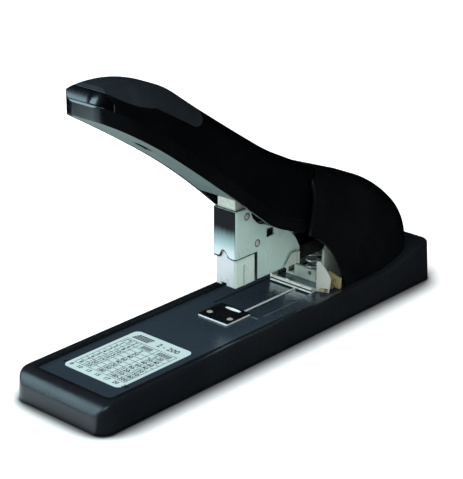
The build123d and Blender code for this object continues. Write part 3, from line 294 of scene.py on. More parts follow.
@dataclass(frozen=True)
class Finish:
    """A surface: two close tones in clouds, a grain and a gloss.

    Attributes:
        name: the material's name.
        tone: main colour.
        second: colour of the clouds.
        cloud_mm: size of the clouds.
        gloss: lowest and highest roughness.
        grain_mm: size of the surface grain.
        grain_depth_mm: depth of the grain.
        stretch: how much finer the grain is along each axis.
        metal: 1 for bare metal.
        level: specular level.
        gleam: colour of the gloss.
        crevice_mm: reach of the painted shade in seams and hollows, or 0.
        round_mm: radius to which edges look rounded, or 0.
    """

    name: str
    tone: Tone
    second: Tone
    cloud_mm: float
    gloss: Span
    grain_mm: float
    grain_depth_mm: float
    stretch: Point = EVEN
    metal: float = 0.0
    level: float = 0.5
    gleam: Tone = WHITE
    crevice_mm: float = 0.0
    round_mm: float = 0.0

    def base_colour(self, sheet: NodeSheet) -> Socket:
        """The colour of the bare surface: clouds of the two tones."""
        cloud = sheet.span(sheet.noise(self.cloud_mm, CLOUD_DETAIL), CLOUD_SPREAD, OFF_ON)
        return sheet.mix(cloud, self.tone, self.second)

    def material(self) -> bpy.types.Material:
        """Build the material.

        Returns:
            A new material with procedural colour, roughness and grain.
        """
        sheet = NodeSheet(self.name)
        sheet.set(Metallic=self.metal, Specular_IOR_Level=self.level)
        sheet.set(Specular_Tint=sheet.colour(self.gleam))
        colour = self.base_colour(sheet)
        # Painted shade: darken the colour where the space over the surface is closed in, as in
        # seams and hollows.
        if self.crevice_mm:
            share = sheet.openness(self.crevice_mm, EDGE_SAMPLES)
            colour = sheet.mix(sheet.span(share, PAINTED_SHADE_OPENNESS, OFF_ON), PAINTED_SHADE_TONE, colour)
        sheet.join(colour, sheet.shader.inputs["Base Color"])
        smear = sheet.noise(self.cloud_mm * SMEAR_SHARE, SMEAR_DETAIL, self.stretch)
        rough = sheet.span(smear, SMEAR_SPREAD, self.gloss)
        sheet.join(rough, sheet.shader.inputs["Roughness"])
        self.relief(sheet)
        return sheet.material

    def relief(self, sheet: NodeSheet) -> None:
        """Give the surface its rounded edges and its grain.

        Args:
            sheet: the tree to add to.
        """
        normal = sheet.rounded(self.round_mm) if self.round_mm else None
        grain = sheet.noise(self.grain_mm, GRAIN_DETAIL, self.stretch)
        sheet.bump(grain, self.grain_depth_mm, normal)


@dataclass(frozen=True)
class NoseShell(Finish):
    """Shell plastic whose flat sloping nose face is shaded as a bowed one.

    The shading's height falls by a a / 2 r, where a is how far a point lies to the left of the
    face's flat part, and by h h / 2 s, where h is its height over the face's lower line.

    Attributes:
        nose_mm: where the nose face starts along X.
        flat_mm: where the flat part ends along Y.
        bow_mm: radius r on the left of it.
        rise_mm: height of the lower line.
        roll_mm: radius s of the roll over the face.
        start_mm: how far the bowing takes to start along X.
    """

    nose_mm: float = 120.9
    flat_mm: float = 1.0
    bow_mm: float = 11.0
    rise_mm: float = 182.4
    roll_mm: float = 12.0
    start_mm: float = 0.4

    def relief(self, sheet: NodeSheet) -> None:
        """Bow the nose, then add the grain.

        Args:
            sheet: the tree to add to.
        """
        reach = sheet.math("SUBTRACT", sheet.along("Y"), self.flat_mm * MM)
        outside = sheet.math("MAXIMUM", reach, 0.0)
        bow = sheet.math("MULTIPLY", sheet.times(outside, outside), -0.5 / (self.bow_mm * MM))
        over = sheet.math("SUBTRACT", sheet.along("Z"), self.rise_mm * MM)
        roll = sheet.math("MULTIPLY", sheet.times(over, over), -0.5 / (self.roll_mm * MM))
        start = (self.nose_mm * MM, (self.nose_mm + self.start_mm) * MM)
        where = sheet.span(sheet.along("X"), start, OFF_ON)
        height = sheet.times(sheet.math("ADD", bow, roll), where)
        normal = sheet.bump(height, 1.0 / MM, sheet.rounded(self.round_mm))
        grain = sheet.noise(self.grain_mm, GRAIN_DETAIL, self.stretch)
        sheet.bump(grain, self.grain_depth_mm, normal)


@dataclass(frozen=True)
class SlottedPlate(Finish):
    """Grey moulding with painted shade inside its screw's slot.

    Attributes:
        slot_mm: the slot's middle along X, half length and half width.
        soft_mm: width of the change at its rim.
        dark: colour of the painted shade inside.
    """

    slot_mm: Point = (82.0, 5.6, 3.05)
    soft_mm: float = 0.05
    dark: Tone = (0.004, 0.004, 0.005)

    def base_colour(self, sheet: NodeSheet) -> Socket:
        """The plain colour, with painted shade on the slot's walls.

        Args:
            sheet: the tree to add to.
        Returns:
            The colour.
        """
        middle, half, width = self.slot_mm
        shift = sheet.math("SUBTRACT", sheet.along("X"), middle * MM)
        long_way = self.near(sheet, shift, half)
        wide_way = self.near(sheet, sheet.along("Y"), width)
        # Painted shade inside the slot.
        return sheet.mix(sheet.times(long_way, wide_way), super().base_colour(sheet), self.dark)

    def near(self, sheet: NodeSheet, place: Socket, reach_mm: float) -> Socket:
        """1 where a place p is within reach r of zero, as p p < r r, and 0 elsewhere."""
        rim = (((reach_mm + self.soft_mm) * MM) ** 2, (reach_mm * MM) ** 2)
        return sheet.span(sheet.times(place, place), rim, OFF_ON)


@dataclass(frozen=True)
class PressedDeck(Finish):
    """Deck paint with painted highlights on the far wall of its slot and along a pressed line.

    Attributes:
        slot_mm: the slot's ends along X and sides along Y.
        under_mm: heights of the slot's wall.
        bare: colour of the painted highlight on the wall.
        line_mm: the line's ends along X and sides along Y.
        mark_mm: the same for the short mark across the line's front.
        pale: colour of the painted highlight on the line and the mark.
    """

    slot_mm: Patch = (-56.0, 1.4, 3.7, 4.4)
    under_mm: Span = (15.0, 17.3)
    bare: Tone = (0.8, 0.88, 0.86)
    line_mm: Patch = (-49.0, -0.5, 19.5, 19.8)
    mark_mm: Patch = (4.5, 5.1, 14.0, 19.6)
    pale: Tone = (0.15, 0.18, 0.18)

    def patch(self, sheet: NodeSheet, place: Patch) -> Socket:
        """1 inside a rectangle given by its ends along X and sides along Y, and 0 outside."""
        return sheet.times(sheet.within("X", *place[:2]), sheet.within("Y", *place[2:]))

    def base_colour(self, sheet: NodeSheet) -> Socket:
        """The plain paint, with painted highlights on the wall, the line and the mark.

        Args:
            sheet: the tree to add to.
        Returns:
            The colour.
        """
        colour = super().base_colour(sheet)
        # Painted highlight on the slot's far wall.
        wall = sheet.times(self.patch(sheet, self.slot_mm), sheet.within("Z", *self.under_mm))
        colour = sheet.mix(wall, colour, self.bare)
        # Painted highlight along the pressed line and its mark.
        colour = sheet.mix(self.patch(sheet, self.line_mm), colour, self.pale)
        return sheet.mix(self.patch(sheet, self.mark_mm), colour, self.pale)


@dataclass(frozen=True)
class BareSides(Finish):
    """A plate that is bare below its top skin.

    Attributes:
        skin_mm: height of the skin's underside.
        soft_mm: depth of the change under it.
        bare: colour below it.
    """

    skin_mm: float = 18.42
    soft_mm: float = 0.1
    bare: Tone = (0.72, 0.78, 0.79)

    def base_colour(self, sheet: NodeSheet) -> Socket:
        """The plain colour over bare sides.

        Args:
            sheet: the tree to add to.
        Returns:
            The colour.
        """
        rim = ((self.skin_mm - self.soft_mm) * MM, self.skin_mm * MM)
        top = sheet.span(sheet.along("Z"), rim, OFF_ON)
        return sheet.mix(top, self.bare, super().base_colour(sheet))


@dataclass(frozen=True)
class StopSteel(Finish):
    """Bright steel with a dark band painted along the bar's upright lip.

    Attributes:
        lip_mm: where the lip's face lies along X.
        band_mm: heights of the band of painted reflection.
        soft_mm: how far the band fades above and below.
        dark: colour of the painted reflection.
    """

    lip_mm: Span = (-47.4, -46.6)
    band_mm: Span = (19.0, 19.8)
    soft_mm: float = 0.25
    dark: Tone = (0.03, 0.032, 0.03)

    def base_colour(self, sheet: NodeSheet) -> Socket:
        """The plain steel, with the band of painted reflection.

        Args:
            sheet: the tree to add to.
        Returns:
            The colour.
        """
        # Painted reflection: a dark band along the lip.
        height = sheet.within("Z", *self.band_mm, self.soft_mm)
        band = sheet.times(sheet.within("X", *self.lip_mm), height)
        return sheet.mix(band, super().base_colour(sheet), self.dark)


@dataclass(frozen=True)
class HousingZinc(Finish):
    """Zinc plate whose front face has a painted reflection that darkens towards its top,
    with painted shade along its lower seam and round its rivets.

    The seam's height over the front is base + rise (s(y, up) - s(y, down)), where s is the
    smooth step from 0 to 1 between two places.

    Attributes:
        front_mm: where the front face lies along X.
        fade_mm: heights between which the front's painted reflection goes from middling to dark.
        glow_mm: heights between which it goes from bright to middling.
        blued: colour of the painted reflection's dark part.
        middling: colour under it.
        bright: colour of the front's bright part.
        seam_mm: base and rise of the seam's painted shade, or base 0 for none.
        seam_up_mm: where the seam rises along Y.
        seam_down_mm: where it falls.
        seam_x_mm: where it ends along X.
        seam_soft_mm: height of the change over it.
        rivets_mm: X and Z of the rivets, each with a ring of painted shade.
        ring_mm: inner and outer radius of the ring's rim.
        drift_mm: how far the front's fade wanders up and down, and the size of a wander.
        drift_stretch: how much finer the wander is along each axis.
        turn_mm: how far the front takes to start along X.
    """

    front_mm: float = 13.6
    fade_mm: Span = (69.0, 78.5)
    glow_mm: Span = (58.0, 70.0)
    blued: Tone = (0.006, 0.007, 0.009)
    middling: Tone = (0.2, 0.3, 0.31)
    bright: Tone = (0.5, 0.58, 0.61)
    seam_mm: Span = (0.0, 4.4)
    seam_up_mm: Span = (-4.6, -1.6)
    seam_down_mm: Span = (-0.6, 5.0)
    seam_x_mm: Span = (-6.0, 40.0)
    seam_soft_mm: float = 0.2
    rivets_mm: tuple[Span, ...] = ()
    ring_mm: Span = (2.4, 2.6)
    drift_mm: Span = (4.0, 4.0)
    drift_stretch: Point = (1.0, 2.0, 0.35)
    turn_mm: float = 0.15

    def ring(self, sheet: NodeSheet, middle: Span) -> Socket:
        """Where a rivet's ring of painted shade is.

        Args:
            sheet: the tree to add to.
            middle: the rivet's X and Z in millimetres.
        Returns:
            1 where x x + z z < r r, and 0 outside.
        """
        across = sheet.math("SUBTRACT", sheet.along("X"), middle[0] * MM)
        upward = sheet.math("SUBTRACT", sheet.along("Z"), middle[1] * MM)
        square = sheet.math("ADD", sheet.times(across, across), sheet.times(upward, upward))
        return sheet.span(square, tuple((r * MM) ** 2 for r in self.ring_mm), ON_OFF)

    def seam(self, sheet: NodeSheet) -> Socket:
        """Where the seam's painted shade is: on the seam and under it.

        Args:
            sheet: the tree to add to.
        Returns:
            1 up to the seam's height, and 0 above it and behind its end.
        """
        side = sheet.along("Y")
        base, rise = (value * MM for value in self.seam_mm)
        up = sheet.span(side, tuple(y * MM for y in self.seam_up_mm), (base, base + rise))
        down = sheet.span(side, tuple(y * MM for y in self.seam_down_mm), (0.0, rise))
        over = sheet.math("SUBTRACT", sheet.along("Z"), sheet.math("SUBTRACT", up, down))
        low = sheet.span(over, (0.0, self.seam_soft_mm * MM), ON_OFF)
        return sheet.times(low, sheet.within("X", *self.seam_x_mm))

    def front(self, sheet: NodeSheet) -> Socket:
        """The front face's painted reflection: bright below, middling, then dark at the top.

        Args:
            sheet: the tree to add to.
        Returns:
            The colour.
        """
        amount, size = self.drift_mm
        wander = sheet.noise(size, GRAIN_DETAIL, self.drift_stretch)
        level = sheet.math("ADD", sheet.math("MULTIPLY", wander, amount * MM), sheet.along("Z"))
        rise = sheet.span(level, tuple(z * MM for z in self.fade_mm), OFF_ON)
        glow = sheet.span(sheet.along("Z"), tuple(z * MM for z in self.glow_mm), OFF_ON)
        return sheet.mix(rise, sheet.mix(glow, self.bright, self.middling), self.blued)

    def base_colour(self, sheet: NodeSheet) -> Socket:
        """Plain zinc, with the front's painted reflection and the painted shade of the rings and
        the seam.

        Args:
            sheet: the tree to add to.
        Returns:
            The colour.
        """
        turn = (self.front_mm * MM, (self.front_mm + self.turn_mm) * MM)
        where = sheet.span(sheet.along("X"), turn, OFF_ON)
        # The front face takes the painted reflection.
        colour = sheet.mix(where, super().base_colour(sheet), self.front(sheet))
        for middle in self.rivets_mm:
            # Painted shade in a ring round each rivet.
            colour = sheet.mix(self.ring(sheet, middle), colour, PAINTED_SHADE_TONE)
        if not self.seam_mm[0]:
            return colour
        # Painted shade along the seam and under it.
        return sheet.mix(self.seam(sheet), colour, PAINTED_SHADE_TONE)


BLACK_SHELL = Finish(
    "black_shell", (0.0026, 0.0029, 0.0034), (0.0036, 0.004, 0.0045), 40.0, (0.26, 0.36),
    0.45, 0.003, level=0.28, gleam=COLD_GLEAM, round_mm=1.2,
)
HANDLE_SHELL = NoseShell(
    "handle_shell", (0.0014, 0.0017, 0.002), (0.002, 0.0024, 0.0027), 40.0, (0.2, 0.26),
    0.45, 0.002, level=0.66, gleam=COLD_GLEAM, round_mm=1.0,
)
BASE_SHELL = Finish(
    "base_shell", (0.0062, 0.0072, 0.0092), (0.008, 0.0092, 0.0115), 55.0, (0.23, 0.31),
    0.5, 0.003, level=0.36, gleam=COLD_GLEAM, round_mm=4.0,
)
BLACK_GLOSS = Finish(
    "black_gloss", (0.002, 0.0024, 0.003), (0.003, 0.0034, 0.004), 35.0, (0.16, 0.24),
    0.5, 0.002, level=0.95, gleam=COLD_GLEAM, round_mm=0.4,
)
GRIP_SKIN = Finish(
    "grip_skin", (0.0105, 0.0138, 0.0184), (0.0128, 0.0166, 0.022), 14.0, (0.42, 0.5),
    0.35, 0.04, level=0.5, gleam=COLD_GLEAM,
)
GREY_PLATE = SlottedPlate(
    "grey_plate", (0.125, 0.172, 0.166), (0.14, 0.19, 0.184), 30.0, (0.42, 0.52),
    0.4, 0.012, level=0.4,
)
DECK_PAINT = PressedDeck(
    "deck_paint", (0.018, 0.027, 0.037), (0.021, 0.031, 0.042), 50.0, (0.24, 0.34),
    0.9, 0.002, level=0.45, gleam=COLD_GLEAM,
)
ANVIL_BLACK = BareSides(
    "anvil_black", (0.004, 0.0045, 0.0055), (0.007, 0.0075, 0.009), 8.0, (0.1, 0.16),
    0.5, 0.001, level=0.6,
)
DARK_STEEL = Finish(
    "dark_steel", (0.006, 0.006, 0.007), (0.01, 0.01, 0.012), 12.0, (0.3, 0.42),
    0.4, 0.006,
)
ZINC = Finish(
    "zinc", (0.42, 0.5, 0.43), (0.48, 0.56, 0.48), 16.0, (0.26, 0.38),
    0.5, 0.001, stretch=(1.0, 1.0, 0.25), metal=0.3, level=0.6, crevice_mm=1.4,
)
HOUSING = HousingZinc(
    "housing_zinc", (0.43, 0.58, 0.52), (0.48, 0.63, 0.57), 26.0, (0.27, 0.32),
    0.5, 0.0002, stretch=(1.0, 1.0, 0.5), metal=0.3, level=0.05, crevice_mm=1.4, round_mm=0.6,
    seam_mm=(56.6, 4.4), rivets_mm=((3.7, 82.4), (-6.0, 62.2)),
)
CAP_ZINC = HousingZinc(
    "cap_zinc", (0.62, 0.78, 0.7), (0.67, 0.83, 0.75), 26.0, (0.27, 0.32),
    0.5, 0.0002, stretch=(1.0, 1.0, 0.5), metal=0.3, level=0.4, crevice_mm=1.6, round_mm=0.6,
    front_mm=12.5, fade_mm=(90.0, 95.0), glow_mm=(80.0, 85.0), bright=(0.49, 0.52, 0.53),
)
PLUNGER_ZINC = Finish(
    "plunger_zinc", (0.37, 0.41, 0.36), (0.43, 0.47, 0.42), 3.0, (0.3, 0.42),
    0.5, 0.006, stretch=(1.0, 1.0, 0.3), metal=0.3, level=0.6, crevice_mm=1.4,
)
STEEL = Finish(
    "steel", (0.46, 0.5, 0.5), (0.4, 0.43, 0.43), 10.0, (0.26, 0.38),
    0.4, 0.003, stretch=(3.0, 0.4, 1.0), metal=0.5, level=0.6,
)
BRIGHT_STEEL = Finish(
    "bright_steel", (0.8, 0.83, 0.77), (0.74, 0.78, 0.72), 7.0, (0.1, 0.16),
    0.4, 0.001, metal=0.7, level=0.8, crevice_mm=1.2,
)
STOP_STEEL = StopSteel(
    "stop_steel", (0.88, 0.9, 0.82), (0.82, 0.85, 0.77), 7.0, (0.1, 0.16),
    0.4, 0.001, metal=0.5, level=0.8, crevice_mm=1.2,
)
CHROME = Finish(
    "chrome", (0.72, 0.74, 0.68), (0.66, 0.68, 0.62), 7.0, (0.08, 0.12),
    0.4, 0.0005, metal=0.6, level=0.8, crevice_mm=0.5,
)
BRASS = Finish(
    "brass", (0.31, 0.24, 0.1), (0.4, 0.33, 0.17), 5.0, (0.2, 0.32),
    0.4, 0.002, stretch=(1.0, 1.0, 0.4), metal=0.4, level=0.6, crevice_mm=1.2,
)
RUBBER = Finish(
    "rubber", (0.016, 0.016, 0.016), (0.022, 0.022, 0.022), 6.0, (0.7, 0.85),
    0.5, 0.04, level=0.3,
)
LABEL_STOCK = Finish(
    "label_stock", (0.43, 0.53, 0.53), (0.45, 0.55, 0.55), 20.0, (0.34, 0.46),
    0.3, 0.002, level=0.4,
)
PRINT_INK = Finish(
    "print_ink", (0.006, 0.009, 0.011), (0.009, 0.012, 0.015), 2.0, (0.45, 0.55),
    0.2, 0.001, level=0.3,
)


def dress(node: str, material: bpy.types.Material) -> None:
    """Give a CAD node's object a finish.

    Args:
        node: the node's name.
        material: its new material.
    """
    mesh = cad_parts[node].data
    mesh.materials.clear()
    mesh.materials.append(material)
    LOG.info("dressed %s in %s", node, material.name)


def grid_faces(rows: int, columns: int, wrap: bool) -> np.ndarray:
    """Quads between neighbouring rows and columns of points.

    Args:
        rows: points along the first parameter.
        columns: points along the second parameter.
        wrap: whether the second parameter closes on itself.
    Returns:
        An array of four point numbers for each face.
    """
    i, j = np.meshgrid(np.arange(rows - 1), np.arange(columns - (not wrap)), indexing="ij")
    k = (j + 1) % columns
    faces = np.stack([i * columns + j, i * columns + k, (i + 1) * columns + k,
                      (i + 1) * columns + j], axis=-1)
    return faces.reshape(-1, 4)


def make_piece(name: str, points: np.ndarray, faces: list[list[int]],
               material: bpy.types.Material, smooth: bool) -> bpy.types.Object:
    """Put points and faces into a new object at the origin.

    Args:
        name: the piece's name.
        points: places in metres.
        faces: point numbers of each face.
        material: its finish.
        smooth: whether its shading is smooth.
    Returns:
        The new object.
    """
    mesh = bpy.data.meshes.new(name)
    mesh.from_pydata(np.asarray(points).tolist(), [], faces)
    mesh.polygons.foreach_set("use_smooth", np.full(len(mesh.polygons), smooth))
    mesh.materials.append(material)
    mesh.update()
    piece = bpy.data.objects.new(name, mesh)
    bpy.context.scene.collection.objects.link(piece)
    LOG.info("built %s with %d faces", name, len(mesh.polygons))
    return piece


@dataclass(frozen=True)
class WireSpring:
    """A round-wire spring: a helix with a straight tail at each end.

    Sizes are in millimetres. Along the coil the centre line is
    c + r (s cos a + t sin a) + p a / 2 pi u, for the axis u and the two directions s and t
    across it; each tail runs on along the coil's end direction.

    Attributes:
        name: the piece's name.
        node: the CAD node it stands for.
        slot: name of a material slot; not used.
        centre: start of the coil's axis.
        axis: direction u of the axis.
        across: direction s, where the coil starts.
        radius: from the axis to the middle of the wire.
        pitch: rise of one turn.
        turns: how many turns there are.
        wire: diameter of the wire.
        tail_in: length of the tail at the start.
        tail_out: length of the tail at the end.
        steps_per_turn: points along one turn.
        sides: points round the wire.
    """

    name: str
    node: str
    slot: str
    centre: Point
    axis: Point
    across: Point
    radius: float
    pitch: float
    turns: float
    wire: float
    tail_in: float
    tail_out: float
    steps_per_turn: int = 40
    sides: int = 14

    def build(self, material: bpy.types.Material) -> bpy.types.Object:
        """Sweep the wire's circle along the line, framed by the coil's own radius.

        Args:
            material: the wire's finish.
        Returns:
            The spring, standing for its CAD node.
        """
        up, side = np.array(self.axis), np.array(self.across)
        third = np.cross(up, side)
        climb = self.pitch / (2 * np.pi)
        last = 2 * np.pi * self.turns
        angle = np.linspace(0.0, last, int(self.steps_per_turn * self.turns) + 1)
        angle = np.concatenate([[0.0], angle, [last]])
        run = np.zeros_like(angle)
        run[0], run[-1] = -self.tail_in, self.tail_out
        out = np.cos(angle)[:, None] * side + np.sin(angle)[:, None] * third
        turn = np.cos(angle)[:, None] * third - np.sin(angle)[:, None] * side
        way = turn * self.radius + climb * up
        way /= np.linalg.norm(way, axis=1, keepdims=True)
        line = np.array(self.centre) + out * self.radius + angle[:, None] * climb * up
        line += run[:, None] * way
        other = np.cross(way, out)
        around = np.linspace(0.0, 2 * np.pi, self.sides, endpoint=False)
        ring = np.cos(around)[None, :, None] * out[:, None]
        ring = ring + np.sin(around)[None, :, None] * other[:, None]
        points = (line[:, None] + ring * self.wire / 2).reshape(-1, 3) * MM
        faces = grid_faces(len(line), self.sides, True).tolist()
        faces.append(list(range(self.sides))[::-1])
        faces.append(list(range((len(line) - 1) * self.sides, len(line) * self.sides)))
        piece = make_piece(self.name, points, faces, material, True)
        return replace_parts(piece, self.node)


@dataclass(frozen=True)
class CapacityChart:
    """The printed chart on the label: ruled lines, plain signs and plain numbers.

    Sizes are in millimetres. The print is laid out in u, to the reader's right, and v, up
    the page, and lands at x = front - v, y = left + u, just over the label.

    Attributes:
        lift: height of the print over the label.
        columns: u of the upright rules.
        top: v of the highest rule.
        head: v of the rule under the signs.
        foot: v of the lowest rule.
        legs: leg lengths, one for each row.
        sheets: the most sheets for each row.
        fewest: the fewest sheets in the first row.
        rule: width of a rule.
        staple_sign: boxes of the staple.
        leg_sign: boxes of the leg between two ticks.
        sheets_sign: lowest sheet of the stack over the last column.
        few_sign: lowest sheet of the stack over the column before it.
        sheets_step: from one sheet of these stacks to the next.
        pile_sign: lowest sheet of the pile over the chart.
        pile_step: from one sheet of the pile to the next.
        pile_count: sheets in each stack.
        title: text, u, v and size of the line over the chart.
        foot_line: u and v of the line under the chart.
        number_size: size of the numbers.
        weight: how far the numbers' outlines are thickened.
        letter_steps: how finely the numbers' curves are cut.
    """

    lift: float = 0.02
    columns: tuple[float, ...] = (2.9, 9.4, 15.5, 29.5, 44.2)
    top: float = 50.4
    head: float = 44.4
    foot: float = 7.2
    legs: tuple[int, ...] = (6, 8, 10, 13, 15, 17, 20, 23)
    sheets: tuple[int, ...] = (20, 40, 60, 90, 120, 150, 180, 200)
    fewest: int = 2
    rule: float = 0.38
    staple_sign: tuple[Patch, ...] = (
        (4.2, 45.4, 4.8, 49.2), (7.6, 45.4, 8.2, 49.2), (4.2, 48.6, 8.2, 49.2),
    )
    leg_sign: tuple[Patch, ...] = (
        (12.1, 45.6, 12.7, 49.0), (11.2, 45.2, 13.6, 45.7), (11.2, 48.9, 13.6, 49.4),
    )
    sheets_sign: Patch = (31.5, 45.5, 42.0, 46.1)
    few_sign: Patch = (18.0, 45.5, 26.5, 46.1)
    sheets_step: Patch = (0.0, 1.0, 0.0, 1.0)
    pile_sign: Patch = (4.0, 53.0, 17.0, 54.0)
    pile_step: Patch = (0.5, 1.5, 0.5, 1.5)
    pile_count: int = 4
    title: tuple[str, float, float, float] = ("2 - 200", 32.0, 55.6, 6.0)
    foot_line: Span = (23.5, 4.1)
    number_size: float = 4.1
    weight: float = 0.11
    letter_steps: int = 2

    def rows(self) -> np.ndarray:
        """Where the level rules lie, from the bottom up to the chart's head."""
        return np.linspace(self.foot, self.head, len(self.legs) + 1)

    def rules(self) -> np.ndarray:
        """Boxes of the ruled lines.

        Returns:
            One row of u low, v low, u high, v high for each box.
        """
        u = np.array(self.columns)
        v = np.append(self.rows(), self.top)
        half = self.rule / 2
        upright = np.stack([u - half, np.full_like(u, self.foot), u + half,
                            np.full_like(u, self.top)], axis=1)
        level = np.stack([np.full_like(v, u[0]), v - half, np.full_like(v, u[-1]), v + half],
                         axis=1)
        return np.concatenate([upright, level])

    def signs(self) -> np.ndarray:
        """Boxes of the signs: a staple, a leg between two ticks and stacks of sheets.

        Sheet n of a stack is the stack's first box moved by n steps.

        Returns:
            One row of u low, v low, u high, v high for each box.
        """
        sheet = np.arange(self.pile_count)[:, None]
        low = np.array(self.sheets_sign) + sheet * self.sheets_step
        few = np.array(self.few_sign) + sheet * self.sheets_step
        high = np.array(self.pile_sign) + sheet * self.pile_step
        return np.concatenate([self.staple_sign, self.leg_sign, low, few, high])

    def words(self) -> list[tuple[str, float, float, float]]:
        """The numbers, each with its u, v and size.

        Returns:
            A list of text, u, v and size.
        """
        u, v = np.array(self.columns), self.rows()
        middle = ((v[:-1] + v[1:]) / 2)[::-1]
        across = (u[:-1] + u[1:]) / 2
        small = self.number_size
        starts = (self.fewest,) + self.sheets[:-1]
        found = [self.title]
        for row, (leg, start, end) in enumerate(zip(self.legs, starts, self.sheets)):
            texts = (f"{row + 1}", f"{leg}", f"{start}", f"{start}-{end}")
            found += [(text, u_at, middle[row], small) for text, u_at in zip(texts, across)]
        line = "   ".join(str(leg) for leg in self.legs)
        found.append((line, *self.foot_line, small))
        return found

    def place(self, flat: np.ndarray) -> np.ndarray:
        """Carry u and v to the label's top.

        Args:
            flat: rows of u and v.
        Returns:
            Points in metres.
        """
        low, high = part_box("capacity_label")
        x = high.x - flat[:, 1] * MM
        y = low.y + flat[:, 0] * MM
        return np.stack([x, y, np.full(len(flat), high.z + self.lift * MM)], axis=1)

    def build(self, ink: bpy.types.Material) -> None:
        """Print the boxes and the numbers as two thin pieces.

        Args:
            ink: the print's finish.
        """
        boxes = np.concatenate([self.rules(), self.signs()])
        corners = boxes[:, [0, 1, 2, 1, 2, 3, 0, 3]].reshape(-1, 2)
        faces = np.arange(len(corners)).reshape(-1, 4).tolist()
        lines = make_piece("chart_lines", self.place(corners), faces, ink, False)
        points, polygons, start = [], [], 0
        for text, u, v, size in self.words():
            curve = bpy.data.curves.new("number", "FONT")
            curve.body = text
            curve.size = size
            curve.offset = self.weight
            curve.align_x = "CENTER"
            curve.align_y = "CENTER"
            curve.resolution_u = self.letter_steps
            letter = bpy.data.objects.new("number", curve)
            mesh = bpy.data.meshes.new_from_object(letter)
            flat = np.empty(len(mesh.vertices) * 3)
            mesh.vertices.foreach_get("co", flat)
            points.append(flat.reshape(-1, 3)[:, :2] + (u, v))
            polygons += [[start + n for n in face.vertices] for face in mesh.polygons]
            start += len(mesh.vertices)
            bpy.data.objects.remove(letter)
            bpy.data.curves.remove(curve)
            bpy.data.meshes.remove(mesh)
        spots = self.place(np.concatenate(points))
        numbers = make_piece("chart_numbers", spots, polygons, ink, False)
        for piece in (lines, numbers):
            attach(piece, Body.BASE.value)


@dataclass(frozen=True)
class StapleStrip:
    """A glued strip of staples, each a bent flat wire.

    Sizes are in millimetres. A staple's middle line is a U with rounded shoulders; its
    section is a rectangle of the wire's width along X and the wire's thickness across.

    Attributes:
        wire: width of the wire.
        thin: its thickness as a share of its width.
        gap: between one staple and the next.
        shoulder: radius of the bends.
        arc_steps: points along a bend.
    """

    wire: float = 0.7
    thin: float = 0.98
    gap: float = 0.04
    shoulder: float = 0.9
    arc_steps: int = 5

    def build(self, material: bpy.types.Material) -> None:
        """Repeat the U along the strip's length.

        Args:
            material: the wire's finish.
        """
        low, high = (np.array(corner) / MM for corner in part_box("staple_strip"))
        half = high[1] - self.wire / 2
        top = high[2] - self.wire / 2
        bend = np.linspace(0.0, np.pi / 2, self.arc_steps)
        round_y = half - self.shoulder + self.shoulder * np.cos(bend)
        round_z = top - self.shoulder + self.shoulder * np.sin(bend)
        out_y, out_z = np.cos(bend), np.sin(bend)
        y = np.concatenate([[half], round_y, -round_y[::-1], [-half]])
        z = np.concatenate([[low[2]], round_z, round_z[::-1], [low[2]]])
        ny = np.concatenate([[1.0], out_y, -out_y[::-1], [-1.0]])
        nz = np.concatenate([[0.0], out_z, out_z[::-1], [0.0]])
        thick = self.wire / 2 * self.thin
        pitch = self.wire + self.gap
        count = int((high[0] - low[0]) / pitch)
        start = high[0] - pitch * (np.arange(count) + 0.5)
        across = np.array([-1, 1, 1, -1]) * self.wire / 2
        outward = np.array([1, 1, -1, -1]) * thick
        shape = (count, len(y), 4)
        points = np.stack([
            np.broadcast_to(start[:, None, None] + across, shape),
            np.broadcast_to(y[:, None] + ny[:, None] * outward, shape),
            np.broadcast_to(z[:, None] + nz[:, None] * outward, shape),
        ], axis=-1).reshape(-1, 3) * MM
        one = grid_faces(len(y), 4, True)
        ends = np.array([[3, 2, 1, 0], np.array([0, 1, 2, 3]) + (len(y) - 1) * 4])
        one = np.concatenate([one, ends])
        faces = (one[None] + (np.arange(count) * len(y) * 4)[:, None, None]).reshape(-1, 4)
        piece = make_piece("staples", points, faces.tolist(), material, False)
        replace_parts(piece, "staple_strip")
        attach(piece, Body.DRAWER.value)


class Palette:
    """The materials made so far, one for each finish."""

    def __init__(self) -> None:
        """Start with no materials."""
        self.made: dict[Finish, bpy.types.Material] = {}

    def of(self, finish: Finish) -> bpy.types.Material:
        """The material of a finish, made on first use.

        Args:
            finish: the finish to look up.
        Returns:
            Its material.
        """
        if finish not in self.made:
            self.made[finish] = finish.material()
        return self.made[finish]


@dataclass
class Unit:
    """A sub-assembly of CAD nodes that share a palette.

    Attributes:
        palette: where finishes come from.
    """

    palette: Palette

    def finishes(self) -> dict[Finish, tuple[str, ...]]:
        """The nodes that each finish goes on."""
        return {}

    def dress(self) -> None:
        """Put the finishes on the unit's nodes."""
        for finish, nodes in self.finishes().items():
            for node in nodes:
                dress(node, self.palette.of(finish))

    def build(self) -> None:
        """Add the unit's own pieces."""


